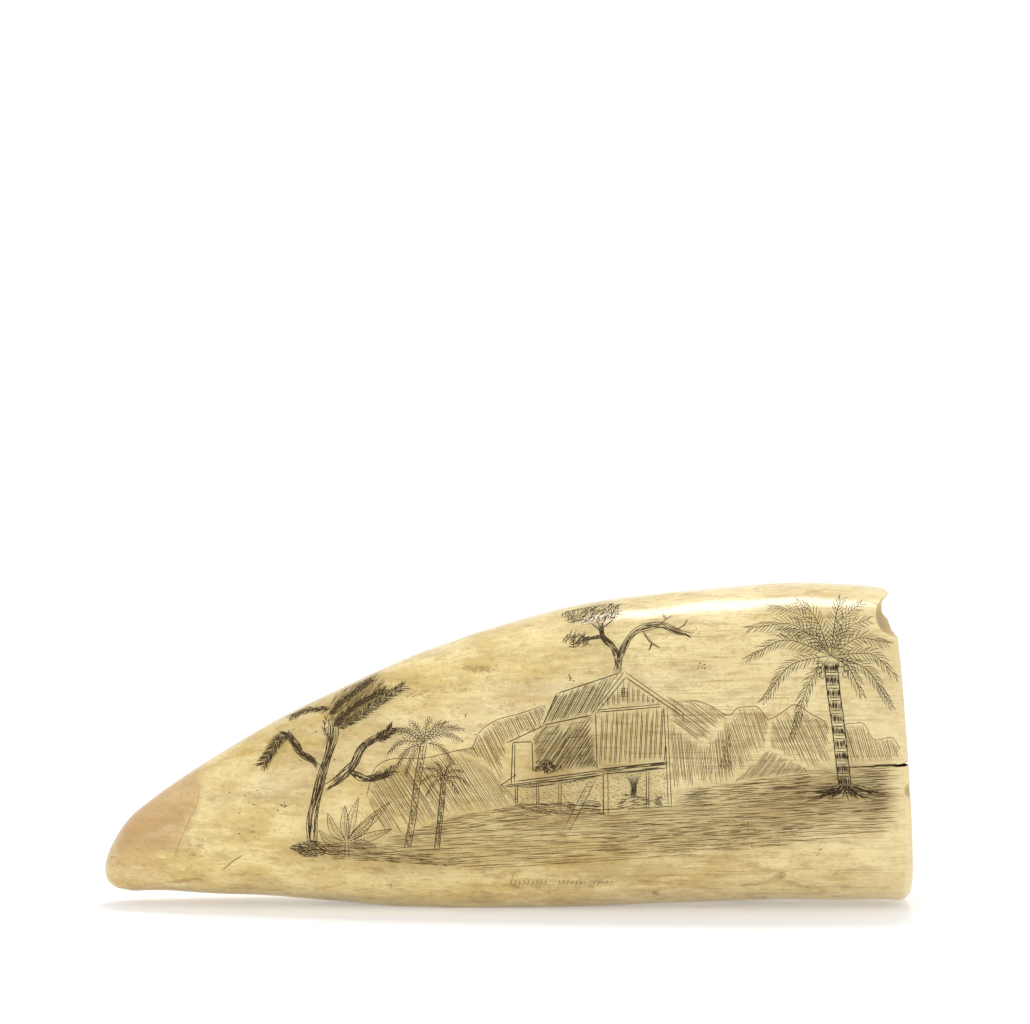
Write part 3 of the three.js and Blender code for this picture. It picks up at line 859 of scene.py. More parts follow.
house.cut(sprigs(bush_spots, bush_turns, 0.9, 0.3), 0.22, 0.9)
WINDOW = [(108.7, 47.0), (110.5, 46.8), (110.5, 44.9), (108.7, 45.0)]
house.hatch(WINDOW, 0, 0.42, 9, 0.2, 0.9, uneven=0.1, filled=0.95, shake=0.02)
house.hatch(WINDOW, 90, 0.55, 9, 0.2, 0.9, uneven=0.1, filled=0.95, shake=0.02)
POST_FEET = np.array([(86.9, 22.1), (91.4, 21.1), (96.1, 20.6), (114.6, 21.1)])
POST_TOPS = np.array([(86.9, 26.4), (91.4, 27.0), (96.1, 27.5), (114.6, 29.5)])
for side in (-0.24, 0.24):
    house.cut(straight(POST_FEET + (side, 0), POST_TOPS + (side, 0), 5), 0.22, 0.8, 0.03, 0.1)
UNDER_FLOOR = [(86.6, 22.2), (86.4, 26.4), (105, 28.2), (118.4, 29.4), (118.8, 22.0), (105, 20.6), (97, 20.4)]
house.hatch(UNDER_FLOOR, 20, 0.5, 1.1, 0.16, 0.55, uneven=0.5, filled=0.5, steps=4)
UNDER_DECK = [(87.0, 22.2), (96, 22.6), (105.2, 23.2), (105.4, 20.2), (94.4, 20.2)]
house.hatch(UNDER_DECK, -5, 0.32, 3.4, 0.22, 0.85, uneven=0.5, filled=0.85)
for rail in (-0.75, 0.75):
    house.cut(curve([(97.4 + rail, 16.4), (103.0 + rail, 27.6)], 8), 0.2, 0.8, 0.03)
rungs = np.linspace(0.06, 0.94, 11)[:, None] * (5.6, 11.2) + (97.4, 16.4)
house.cut(straight(rungs - (0.75, 0), rungs + (0.75, 0), 3), 0.16, 0.8, 0.03)
STUMP_GROUND = [(107, 20.9), (117.8, 21.6), (114, 24.2), (109, 24.4)]
house.hatch(STUMP_GROUND, 6, 0.34, 3, 0.24, 0.95, uneven=0.5, filled=0.7)
for lean in np.linspace(-1.6, 1.6, 9):
    stem = [(111.6 + 0.35 * lean, 23.4), (111.7 + 0.3 * lean, 26.0), (111.6 + lean, 28.4)]
    house.cut(curve(stem, 7), 0.22, 0.9)
JAR = [(116.1, 21.8), (117.8, 21.8), (118.2, 22.9), (117.7, 24.0), (116.3, 24.1), (115.8, 22.9)]
for angle in (40, -40):
    house.hatch(JAR, angle, 0.34, 3, 0.22, 0.95, steps=4)
house.finish("engraved_house")


# The trees and the agave: a crown like a cloud and a bare branch behind the roof, and a tree with
# bristling limbs on the left. Bark is broken lines along each limb, and leaves are short scratches set
# close together.
BARK_GAP = 0.34
trees = Graver(HOUSE_FACE, 24)


def beside(line):
    """The steps along a line, and the unit directions square to them."""
    run = np.gradient(line, axis=0)
    return run, np.stack([-run[:, 1], run[:, 0]], -1) / np.linalg.norm(run, axis=1)[:, None]


def bark(graver, spine, widths, tone=0.9):
    """A limb: its two wavy sides, and short strokes between them that run along it and twist across it."""
    line = curve(spine, 30)
    _, aside = beside(line)
    half = np.interp(np.linspace(0, 1, 30), np.linspace(0, 1, len(widths)), widths) / 2
    ripple = 1 + 0.14 * np.sin(np.linspace(0, 19, 30) + graver.draw.uniform(0, 6, (2, 1)))
    sides = np.array([[1], [-1]]) * half * ripple
    graver.cut(line + sides[..., None] * aside, 0.26, tone, 0.03, 0.05)
    count = 17 * max(2, int(max(widths) / BARK_GAP))
    windows = graver.draw.integers(0, 24, count)[:, None] + np.arange(6)
    begin = graver.draw.uniform(-0.85, 0.85, (count, 1))
    stop = np.clip(begin + graver.draw.normal(0, 0.4, (count, 1)), -0.9, 0.9)
    place = (begin + (stop - begin) * np.linspace(0, 1, 6)) * half[windows]
    graver.cut(line[windows] + place[..., None] * aside[windows], 0.17, tone - 0.15)


def bristles(graver, spine, length, gap, tone, lean, count):
    """Short hairs that stand out on both sides of a limb and lean towards its end."""
    line = curve(spine, max(6, int(np.linalg.norm(np.subtract(spine[-1], spine[0])) / gap)))
    run = np.gradient(line, axis=0)
    angle = np.arctan2(run[:, 1], run[:, 0])
    graver.cut(line, 0.24, tone, 0.03)
    for side in np.repeat([-1, 1], count):
        starts = line + graver.draw.normal(0, 0.16, line.shape)
        leans = angle + side * np.radians(graver.draw.normal(lean, 7, len(line)))
        sizes = length * graver.draw.uniform(0.75, 1.1, len(line))
        graver.cut(sprigs(starts, leans, sizes, -side * 0.12), 0.16, tone)


def leaf(graver, spine, width, tone):
    """A pointed leaf: its two edges, whose distance from the middle line is width / 2 * sin(pi * t ** 0.8),
    the middle line, and slanting veins."""
    line = curve(spine, 16)
    run, aside = beside(line)
    half = width / 2 * np.sin(math.pi * np.linspace(0, 1, 16) ** 0.8)
    edge = half[:, None] * aside
    graver.cut(np.stack([line + edge, line - edge]), 0.2, tone, 0.02, 0.06)
    graver.cut(line, 0.15, tone - 0.2, 0.02)
    feet = line[2:13]
    for side in (-1, 1):
        ends = feet + side * 0.85 * edge[3:14] + run[3:14] * 0.6
        graver.cut(straight(feet, ends, 3), 0.13, tone - 0.15, 0.02)


def tuft(graver, outline, gap, lean, spread, length, bend, width, tone):
    """Hair strokes from points all over a closed outline, whose angle in radians is about the lean."""
    spots = scatter(outline, gap, graver.draw)
    graver.cut(sprigs(spots, graver.draw.normal(lean, spread, len(spots)), length, bend), width, tone)


bark(trees, [(108.2, 50.0), (108.4, 52.6), (107.4, 55.4), (105.0, 58.2), (104.6, 61.0)], (1.5, 1.3, 1.0, 0.8))
bark(trees, [(108.5, 52.8), (110.2, 56.8), (112.6, 59.2), (117.2, 60.3), (120.5, 59.0), (124.0, 58.2)],
     (1.2, 1.1, 1.3, 1.2, 0.5))
bark(trees, [(106.6, 56.0), (104.6, 57.8), (100.8, 57.2)], (0.8, 0.6, 0.4))
TWIGS = [
    [(117.0, 60.4), (118.6, 61.6), (119.6, 62.2)],
    [(113.4, 59.0), (115.4, 56.4), (117.2, 55.4)],
    [(115.4, 56.5), (114.8, 54.8)],
    [(120.4, 59.2), (122.4, 60.4), (122.8, 61.4)],
    [(118.4, 61.4), (117.6, 62.6)],
    [(122.0, 58.6), (123.6, 57.4)],
    [(104.8, 59.4), (107.2, 61.4)],
    [(105.0, 58.6), (102.6, 60.6)],
]
for twig in TWIGS:
    trees.cut(curve(twig, 7), 0.3, 0.9)
    trees.cut(curve(twig, 7) + (0.2, 0.12), 0.22, 0.85)
CROWN_CLOUD = [(95.8, 61.8), (98, 63.8), (101, 64.9), (105.6, 65.2), (108.2, 64), (108.4, 62), (105.4, 60.6),
               (101.6, 60.4), (98, 60.6)]
CROWN_BLOB = [(96.4, 56.8), (97.6, 58.1), (100.4, 58.2), (102.2, 57.2), (101.4, 56.0), (98.6, 55.3)]
for crown, gap in [(CROWN_CLOUD, 0.42), (CROWN_BLOB, 0.38)]:
    spots = scatter(crown, gap, trees.draw)
    turns = trees.draw.normal(0.5, 0.5, len(spots))
    trees.cut(sprigs(spots, turns, trees.draw.uniform(0.7, 1.5, len(spots)), 0.35), 0.2, 0.85)
LEFT_LIMBS = [
    ([(43.8, 13.2), (43.7, 18.0), (44.6, 23.4), (46.0, 29.1), (47.6, 34.4), (48.3, 38.3), (47.2, 42.4)],
     (2.3, 1.9, 2.1, 1.6, 1.6, 2.1, 1.0)),
    ([(45.3, 30.0), (43.6, 31.8), (41.6, 33.0), (39.9, 35.7), (38.6, 37.3)], (1.1, 1.1, 1.3, 1.5, 1.1)),
    ([(46.1, 25.3), (49.9, 28.1), (52.4, 30.7), (54.0, 33.8), (56.8, 36.2), (59.2, 37.2)],
     (1.3, 1.6, 1.8, 1.4, 1.5, 0.9)),
    ([(51.7, 29.3), (55.2, 27.6), (58.4, 28.0), (60.2, 28.8)], (1.1, 1.4, 1.2, 0.7)),
]
for spine, widths in LEFT_LIMBS:
    bark(trees, spine, widths)
BRUSHES = [
    ([(49.0, 38.8), (53.0, 40.6), (58.4, 44.4), (63.0, 47.2)], 1.6, 42, 2),
    ([(38.8, 37.1), (37.4, 36.4), (35.2, 33.8), (33.3, 30.9)], 1.8, 50, 3),
    ([(44.2, 31.4), (41.6, 33.2), (38.6, 37.2)], 1.0, 40, 2),
    ([(57.2, 36.0), (59.0, 37.0), (60.4, 38.2)], 1.7, 48, 4),
    ([(56.8, 28.0), (59.0, 28.4), (60.6, 29.4)], 1.4, 42, 3),
    ([(47.4, 42.6), (43.6, 42.4), (39.4, 40.9)], 1.2, 34, 3),
    ([(47.4, 41.4), (50.4, 44.2), (56.0, 48.4)], 1.3, 30, 3),
    ([(48.4, 39.0), (52.4, 42.8), (58.8, 46.4)], 1.4, 30, 3),
    ([(47.8, 36.2), (46.4, 38.4), (46.6, 40.4)], 0.8, 40, 1),
]
for spine, length, lean, count in BRUSHES:
    bristles(trees, spine, length, 0.27, 0.8, lean, count)
LEFT_CROWN = [
    (46.6, 42.4), (49.6, 46.2), (55.8, 48.8), (58.2, 47.2), (56.4, 43.4), (52.6, 40.6), (49.2, 38.6),
    (47.6, 39.6),
]
tuft(trees, LEFT_CROWN, 0.5, 0.78, 0.14, 2.6, 0.1, 0.13, 0.55)
LEFT_ROOTS = [
    (38.4, 12.9), (40.6, 13.8), (43.0, 14.6), (45.2, 14.2), (47.4, 12.2), (46.2, 11.0), (41.6, 10.9),
]
for angle in (-8, 24, -40):
    trees.hatch(LEFT_ROOTS, angle, 0.4, 3, 0.26, 0.95, uneven=0.4, filled=0.85, steps=4)
AGAVE_LEAVES = [
    [(51.4, 14.8), (52.2, 19.4), (53.6, 23.6)], [(51.0, 14.2), (50.6, 18.2), (50.7, 22.0)],
    [(50.8, 14.4), (48.4, 16.4), (47.0, 20.4)], [(50.8, 13.6), (47.6, 14.2), (45.1, 16.7)],
    [(51.4, 14.8), (55.8, 18.4), (60.4, 22.8)], [(51.6, 14.0), (56.4, 15.4), (60.7, 16.9)],
    [(50.8, 12.8), (48.2, 12.7), (45.8, 13.6)], [(51.6, 13.2), (54.4, 13.7), (57.3, 13.1)],
    [(51.4, 14.4), (54.6, 17.0), (57.2, 20.0)],
]
for spine in AGAVE_LEAVES:
    leaf(trees, spine, 1.8, 0.82)
trees.cut(straight(np.array([(50.7, 10.9), (51.6, 10.9)]), np.array([(50.8, 14.4), (51.4, 14.4)])), 0.24, 0.9)
trees.finish("engraved_trees")


# The palms: two slender ones before the hills, and a tall one by the root with a ringed trunk and fruit
# under its crown. Each frond is an arched rib with leaflets on both sides.
palms = Graver(HOUSE_FACE, 25)


def frond(graver, heart, tip, leaflet, gap, tone):
    """A rib that rises from the heart and falls to its tip, and leaflets that shorten towards both its
    ends."""
    reach = np.linalg.norm(np.subtract(tip, heart))
    middle = np.array(heart) * 0.45 + np.array(tip) * 0.55 + (0, 0.2 * reach)
    rib = curve([heart, middle, tip], max(8, int(reach * 1.15 / gap)))
    graver.cut(rib, 0.22, tone, 0.02, 0.1)
    run = np.gradient(rib, axis=0)
    angle = np.arctan2(run[:, 1], run[:, 0])
    share = np.linspace(0, 1, len(rib))
    rib, angle, share = rib[share > 0.1], angle[share > 0.1], share[share > 0.1]
    sizes = leaflet * np.sin(math.pi * (0.06 + 0.8 * share)) ** 0.6
    for side in (-1, 1):
        leans = angle + side * np.radians(58 - 26 * share + graver.draw.normal(0, 4, len(rib)))
        uneven = graver.draw.uniform(0.85, 1.1, len(rib))
        droop = -side * 0.12 - 0.25 * np.cos(leans)
        graver.cut(sprigs(rib, leans, sizes * uneven, droop), 0.18, tone)


def palm(graver, trunk, width, tips, leaflet, gap, tone):
    """A palm: the sides of its trunk and its rings, and a frond to each tip."""
    line = curve(trunk, 26)
    graver.cut(np.stack([line - (width / 2, 0), line + (width / 2, 0)]), 0.24, tone, 0.03, 0.04)
    levels = line[1:-1]
    graver.cut(straight(levels - (width / 2, 0), levels + (width / 2, 0), 3), 0.18, tone, 0.05)
    shade = np.tile(levels, (3, 1))
    shade += graver.draw.uniform(-0.4, 0.4, shade.shape) * width
    graver.cut(straight(shade, shade + (0.03, 1.1), 4), 0.16, tone - 0.1)
    for tip in tips:
        frond(graver, line[-1], tip, leaflet, gap, tone)


MIDDLE_PALM_TIPS = [
    (59.9, 33.2), (61.2, 38.2), (64.6, 39.8), (68.6, 40.2), (72.2, 39.6), (75.2, 35.8), (61.4, 29.8),
    (73.4, 31.2), (63.6, 28.6), (58.6, 36.4), (75.4, 38.2),
]
palm(palms, [(63.8, 12.6), (65.0, 19), (66.0, 27), (67.4, 35.4)], 1.3, MIDDLE_PALM_TIPS, 1.25, 0.6, 0.75)
SMALL_PALM_TIPS = [
    (66.8, 26.8), (67.6, 29.8), (70.0, 31.0), (73.0, 30.8), (75.4, 29.2), (76.6, 26.4), (68.0, 24.2),
    (74.4, 24.6),
]
palm(palms, [(70.1, 12.6), (70.9, 20), (71.6, 27.8)], 1.0, SMALL_PALM_TIPS, 0.95, 0.55, 0.75)
TALL_PALM = [(156.3, 26.0), (155.6, 32), (154.8, 39), (153.8, 46), (153.2, 52.2)]
TALL_PALM_HEART = (153.2, 53.8)
TALL_PALM_TIPS = [(140.8, 64.0), (146.4, 64.9), (136.2, 59.6), (136.0, 53.4), (139.2, 44.6), (145.2, 36.8),
                  (155.2, 65.4), (159.2, 64.6), (161.4, 61.4), (164.8, 56.4), (166.8, 49.6), (165.8, 43.2),
                  (143.0, 58.8), (159.6, 45.8)]
for tip in TALL_PALM_TIPS:
    frond(palms, TALL_PALM_HEART, tip, 2.6, 0.82, 0.95)
trunk = curve(TALL_PALM, 40)
palms.cut(np.stack([trunk - (1.3, 0), trunk + (1.3, 0)]), 0.28, 1.0, 0.05, 0.03)
RING_BANDS = 10
for begin in np.linspace(0, 36, RING_BANDS).astype(int):
    low, high = trunk[begin], trunk[min(begin + 3, 39)]
    band = [low - (1.25, 0), low + (1.25, 0), high + (1.25, 0), high - (1.25, 0)]
    palms.hatch(band, 92, 0.22, 6, 0.27, 1.0, filled=0.97, steps=4, shake=0.03)
    rims = np.array([low, high])
    palms.cut(straight(rims - (1.3, 0), rims + (1.3, 0)), 0.26, 1.0, 0.04)
FRUIT = np.array([(150.6, 50.6), (151.4, 49.6), (152.2, 50.8), (155.0, 50.8), (156.2, 49.8), (156.6, 51.2),
                  (155.4, 52.0), (151.0, 51.8)])
AROUND = np.linspace(0, 2 * math.pi, 11)
ovals = FRUIT[:, None] + np.stack([np.cos(AROUND) * 0.55, np.sin(AROUND) * 0.7], -1)
palms.cut(ovals, 0.22, 0.95, 0.02)
ROOTS = 60
foot_x = TALL_PALM[0][0]
root_ends = np.stack([palms.draw.uniform(146.2, 166.8, ROOTS), palms.draw.uniform(21.6, 24.6, ROOTS)], -1)
near_foot = foot_x + (root_ends[:, 0] - foot_x) * 0.14
root_starts = np.stack([near_foot, palms.draw.uniform(24.6, 26.8, ROOTS)], -1)
root_runs = root_ends - root_starts
root_angles = np.arctan2(root_runs[:, 1], root_runs[:, 0])
root_bends = 0.12 * np.sign(root_runs[:, 0])
root_lengths = np.linalg.norm(root_runs, axis=1) * palms.draw.uniform(0.5, 1, ROOTS)
palms.cut(sprigs(root_starts, root_angles, root_lengths, root_bends), 0.3, 1.0)
palms.finish("engraved_palms")


# The inscription under the scene, faint and worn: two rows' worth of small slanting scratches that spell
# nothing.
inscription = Graver(HOUSE_FACE, 26)
SCRATCH_ROWS = [(85.4, 93.6), (95.6, 107.0)]
for begin, stop in SCRATCH_ROWS:
    places = np.arange(begin, stop, 0.92)
    heights = 4.6 + inscription.draw.uniform(-0.2, 0.2, len(places))
    feet = np.stack([places, heights], -1)
    tall = np.where(inscription.draw.uniform(size=len(places)) < 0.2, 3.0, 1.5)
    inscription.cut(sprigs(feet, np.full(len(places), 1.1), tall, 0.18), 0.14, 0.42)
    inscription.cut(sprigs(feet + (0.15, 1.2), np.full(len(places), -0.5), 1.0, -0.4), 0.12, 0.34)
inscription.finish("engraved_inscription")


# The bird on the other face: a crested bird on a branch, head down as the tooth lies, looking to the
# root. Its body is feather scales, each a small arc, and its tail and legs are fine hair strokes.
SCALE_TONE = 0.96
bird = Graver(BIRD_FACE, 31, 0.48)


def scales(graver, outline, gap, long, blunt):
    """Feather scales in staggered rows: each is an arc open towards the head, whose run ahead is
    long * (1 - |across| ** blunt). Their direction turns evenly from the neck to the tail."""
    draw = graver.draw
    spots = scatter(outline, gap, draw, 0.09)
    turn = np.radians(np.clip(96 - 1.12 * (spots[:, 0] - 72), 20, 96) + draw.normal(0, 5, len(spots)))
    ahead, aside = directions(turn)
    s = np.linspace(-1, 1, 9)[:, None]
    size = draw.uniform(0.85, 1.15, (len(spots), 1, 1))
    arcs = spots[:, None] + aside * s * gap * 0.56 * size + ahead * long * size * (1 - np.abs(s) ** blunt)
    graver.cut(arcs, 0.3, SCALE_TONE, 0.04, 0.3)
    shafts = spots - ahead[:, 0] * gap * draw.uniform(0.0, 0.35, (len(spots), 1))
    shafts = shafts + aside[:, 0] * gap * draw.uniform(-0.3, 0.3, (len(spots), 1))
    graver.cut(sprigs(shafts, turn, gap * 0.7, 0.1, 4), 0.13, SCALE_TONE - 0.35)


NECK = [
    (75.4, 12.6), (72.4, 16.6), (73.2, 22.6), (75.6, 28.6), (80, 30.5), (92.5, 27), (90.6, 22), (87, 18.2),
    (84.4, 15.4), (79.8, 14.0),
]
BREAST = [(75.6, 28.6), (79.8, 38.4), (85.8, 47.6), (91.8, 52), (101.4, 55.8), (112.2, 57.6), (119.0, 52.4),
          (103.2, 46.8), (96.6, 36.6), (94.4, 27.6), (88, 27.6), (80, 30.2)]
UPPER_WING = [(95.4, 27.4), (106.2, 27.6), (117.2, 30.8), (126.2, 35.2), (121, 41), (108, 43.6), (99.6, 41),
              (96.2, 34)]
LOWER_WING = [(100.6, 43), (109, 43.4), (121.4, 40.8), (127, 35.8), (137.2, 41.6), (142.4, 45.6), (133, 49.4),
              (118.6, 49.8), (104.4, 46.4)]
scales(bird, NECK, 1.4, 1.05, 2)
scales(bird, BREAST, 1.85, 1.4, 2.2)
scales(bird, UPPER_WING, 1.9, 1.9, 2.4)
scales(bird, LOWER_WING, 2.1, 4.6, 5)
BIRD_LINES = [
    [(75.6, 12.2), (72.6, 15.2), (72.4, 18.6), (73.2, 23), (75.2, 28.4), (79.6, 38.2), (85.6, 47.9),
     (91.6, 52.3), (101.2, 56.1), (112.2, 58)],
    [(86.6, 17.6), (89.0, 20), (91.0, 23.8), (95.0, 26.4), (106.2, 27.2), (117.2, 30.4), (126.8, 34.8),
     (137.6, 41.4), (146.4, 47.8)],
    [(96.2, 28), (95.4, 33), (98, 39.6), (103, 46.3), (110, 49), (118, 50.4), (133.2, 50.1), (146.4, 48.6)],
    [(76.4, 10.2), (79.4, 8.4), (83.6, 8.6), (86.2, 10.4)],
    [(112, 57.9), (116, 54.6), (120, 51)],
]
for line in BIRD_LINES:
    bird.cut(curve(line, 90), 0.25, 0.92, 0.02, 0.03)
LONG_FEATHERS = [
    [(104, 44.8), (118, 46.6), (134, 49.0)], [(108, 43.6), (124, 45.6), (140, 48.4)],
    [(115, 42.6), (128, 44.6), (142, 47.8)], [(121, 40.8), (132, 43.4), (144, 47.8)],
    [(126, 38.2), (135, 42.4), (145, 47.8)], [(103.6, 46.4), (116, 48.8), (130, 49.8)],
]
for feather in LONG_FEATHERS:
    bird.cut(curve(feather, 20), 0.22, 0.85, 0.04)
CREST = [((77.8, 12.4), (70.4, 10.0)), ((77.6, 11.2), (70.6, 7.8)), ((77.8, 10.2), (71.4, 6.0)),
         ((78.2, 9.4), (73.2, 4.9)), ((78.8, 8.9), (75.4, 4.4)), ((79.6, 8.6), (77.4, 4.8)),
         ((80.6, 8.4), (79.4, 5.8))]
for foot, tip in CREST:
    run = np.subtract(tip, foot)
    aside = np.array((-run[1], run[0])) / np.linalg.norm(run)
    for side in (-0.5, 0, 0.5):
        blade = [
            foot, np.add(foot, run * 0.55) + aside * side, np.add(foot, run * 0.93) + aside * side * 1.1,
            tip,
        ]
        bird.cut(curve(blade, 11), 0.26, 0.95, 0.02, 0.1)
EYE_AT = np.array((82.4, 11.2))
for radius, width in [(0.32, 0.5), (0.95, 0.24), (1.35, 0.18), (1.95, 0.22)]:
    oval = EYE_AT + radius * np.stack([np.cos(AROUND), 0.86 * np.sin(AROUND)], -1)
    bird.cut(oval, width, 1.0, 0.01, 0.02)
BEAK = [(86.3, 10.3), (88.6, 10.4), (91.6, 11.7), (93.8, 14.0), (94.7, 16.6), (93.4, 15.6), (92.6, 16.8),
        (90.6, 17.4), (88.2, 17.2), (86.7, 16.2), (86.1, 13.2)]
for angle in (35, 75, 118):
    bird.hatch(BEAK, angle, 0.3, 3.2, 0.3, 1.0, filled=0.92, steps=4, shake=0.03)
bird.cut(curve(BEAK + BEAK[:1], 40), 0.3, 1.0, 0.02, 0.02)
FACE = [(77.6, 12.6), (79.2, 9.4), (84, 9.2), (85.9, 11), (86.2, 16.8), (83, 16), (80.2, 15)]
face_spots = scatter(FACE, 0.6, bird.draw)
face_spots = face_spots[np.linalg.norm(face_spots - EYE_AT, axis=1) > 2.1]
bird.cut(sprigs(face_spots, np.full(len(face_spots), 2.0), 0.7, 0.4), 0.2, 0.8)
RUFF = [(84.6, 16.4), (87, 18.2), (90.6, 22.6), (94, 26.6), (90, 27), (84, 22)]
tuft(bird, RUFF, 0.62, 0.75, 0.25, 1.7, 0.12, 0.14, 0.6)
TAIL_HAIRS = 120
TAIL_ROOT = curve([(116.6, 57.4), (121, 53.8), (130, 51.6), (146.2, 48.4)], TAIL_HAIRS)
TAIL_END = curve([(136.2, 58.6), (146.2, 63.0), (157.6, 59.4), (158.8, 51.0)], TAIL_HAIRS)
bow = np.sin(math.pi * np.linspace(0, 1, 12))[:, None] * (1.0, -1.7)
hairs = straight(TAIL_ROOT, TAIL_END, 12) + bow
tail_begins = bird.draw.integers(0, 6, (TAIL_HAIRS, 2))
windows = tail_begins[..., None] + np.arange(6)
bird.cut(hairs[np.arange(TAIL_HAIRS)[:, None, None], windows].reshape(-1, 6, 2), 0.15, 0.62, 0.08)
TAIL_TIP = [(150.4, 50.2), (158.8, 50.8), (158.6, 55), (157.6, 59.6), (151, 60)]
tuft(bird, TAIL_TIP, 0.8, 0.15, 0.25, 2.8, 0.1, 0.2, 0.8)
TAIL_UNDER = [(128, 56.4), (137, 57), (148, 61), (146.4, 63.2), (138.8, 61)]
tuft(bird, TAIL_UNDER, 0.8, 0.65, 0.25, 2.8, 0.1, 0.18, 0.75)
FAN = [(112.2, 57.6), (118, 55.6), (121, 58), (117, 60.6)]
tuft(bird, FAN, 0.5, 0.75, 0.2, 3.2, 0.08, 0.2, 0.85)
LEGS = [[(112.8, 58.6), (109.2, 60.2), (105.6, 61.6)], [(114.6, 59.4), (112.4, 61.2), (109.6, 62.8)]]
for leg in LEGS:
    line = curve(leg, 14)
    bird.cut(np.stack([line - (0.3, 0.5), line + (0.3, 0.5)]), 0.22, 0.95, 0.03, 0.06)
    bird.cut(straight(line[1::2] - (0.3, 0.5), line[1::2] + (0.3, 0.5), 3), 0.3, 0.95)
TOES = np.array([(105.8, 61.4), (105.2, 61.8), (104.8, 62.2), (109.8, 62.4), (109.2, 62.8), (110.4, 62.8)])
for turn in (2.2, 2.6, 1.7):
    bird.cut(sprigs(TOES, np.full(6, turn), 2.0, 0.35), 0.26, 0.95)
bird.finish("engraved_bird")


# The branch that the bird sits on: two limbs that meet under its feet, in broken lines of bark.
branch = Graver(BIRD_FACE, 32)
LEFT_LIMB = [(79.6, 50.2), (86, 54.2), (92.6, 57.2), (98.4, 60.0), (103.4, 63.4)]
RIGHT_LIMB = [(102.6, 63.4), (107, 62.6), (112.4, 63.6), (124.3, 63.6), (134.6, 63.4)]
bark(branch, LEFT_LIMB, (1.4, 1.6, 1.9, 2.0, 2.4), 0.85)
bark(branch, RIGHT_LIMB, (2.4, 1.8, 1.6, 1.6, 1.2), 0.85)
for low in (0, 0.55, 1.0):
    under = [(94.2 + 2 * low, 62.8 + low), (103.6, 65.0 + 0.6 * low), (113.4, 66.0 + 0.3 * low)]
    branch.cut(curve(under, 16), 0.28, 0.9)
branch.finish("engraved_branch")


# Age marks: two hairline cracks near the tip on the bird face, specks of dirt in pits, and short old
# scratches. They are as fine as the strokes, and dark as ink.
SPECKS = {
    BIRD_FACE: [
        ((61.2, 27.6), 1.2, 9), ((48.4, 14.6), 0.9, 8), ((126.6, 8.6), 1.6, 9), ((149, 11), 1.2, 6),
        ((22.4, 29.2), 0.8, 5), ((36.4, 33), 1.2, 4), ((82, 47), 6, 7), ((140, 30), 14, 9),
        ((165.6, 9.2), 0.8, 6), ((100, 12), 9, 6),
    ],
    HOUSE_FACE: [
        ((37.4, 22), 1.4, 9), ((1.9, 11.2), 0.6, 3), ((98, 48.9), 0.8, 7), ((125.6, 51.6), 0.9, 6),
        ((134.4, 17.4), 3.4, 12), ((150.4, 11.8), 0.9, 6), ((76, 40), 6, 6), ((48, 33), 10, 8),
        ((29, 20), 7, 8), ((125, 58.6), 1, 4),
    ],
}
for face, seed, name in [(BIRD_FACE, 41, "age_marks_bird_face"), (HOUSE_FACE, 42, "age_marks_scene_face")]:
    marks = Graver(face, seed)
    if face == BIRD_FACE:
        marks.cut(curve([(13.6, 24.6), (18, 27.8), (22, 29.4), (26, 30.8)], 24), 0.34, 1.0, 0.08)
        marks.cut(curve([(27, 15.6), (33, 15.8), (39, 16.8)], 16), 0.12, 0.3)
        marks.cut(curve([(99, 32.6), (115, 34.2), (129, 35.3)], 20) + (31, 0), 0.1, 0.35)
    else:
        marks.cut(curve([(24.6, 7.8), (26.8, 9.8), (29.2, 11.4)], 9), 0.3, 0.25)
        marks.cut(curve([(20.4, 27.6), (19.4, 22.1), (17.7, 18.7), (13.3, 8)], 26), 0.1, 0.12)
    for middle, spread, count in SPECKS[face]:
        specks = np.array(middle) + marks.draw.normal(0, spread * 0.5, (count, 2))
        turns = marks.draw.normal(0.2, 0.6, count)
        marks.cut(sprigs(specks, turns, marks.draw.uniform(0.2, 0.7, count), 0.1), 0.42, 0.45, 0.08, 0.5)
    marks.finish(name)


# The tooth's stains: spots, honey-coloured patches, and the haze that ink left about the engraving. They
# are numbers on the tooth's own vertices, worked out last because the haze needs every stroke.
HAZE_CELL = 1.0
HAZE_SPREAD = 2.6
STAINS = [
    (BIRD_FACE, 53.6, 4.6, 1.9, 1.0, 1.0), (BIRD_FACE, 47.6, 13.6, 0.8, 1.8, 1.0),
    (BIRD_FACE, 141.2, 23.0, 0.9, 1.1, 0.7), (BIRD_FACE, 112, 3.4, 12, 1.2, 0.9),
    (BIRD_FACE, 133, 2.6, 9, 0.9, 0.7), (BIRD_FACE, 149.6, 34, 2.4, 0.7, 0.4),
    (BIRD_FACE, 37, 33.5, 1.6, 1.4, 0.5), (BIRD_FACE, 96, 15.5, 7, 3, 0.25),
    (BIRD_FACE, 86, 2.2, 7, 0.9, 0.6), (HOUSE_FACE, 141.9, 9.2, 1.2, 1.3, 0.75),
    (HOUSE_FACE, 138.7, 3.3, 1.6, 0.7, 0.75), (HOUSE_FACE, 79, 52, 4.5, 1.1, 0.62),
    (HOUSE_FACE, 88, 44.5, 6, 3, 0.3), (HOUSE_FACE, 66, 47, 7, 1.3, 0.5), (HOUSE_FACE, 116, 5, 1, 0.8, 0.8),
    (HOUSE_FACE, 54, 23, 3.4, 5, 0.3), (HOUSE_FACE, 33, 23, 4, 4, 0.25),
    (HOUSE_FACE, 74.5, 48.4, 4, 1.2, 0.4), (HOUSE_FACE, 60.5, 6.6, 0.8, 0.8, 0.8),
    (HOUSE_FACE, 20.5, 14, 2.4, 2, 0.4),
]
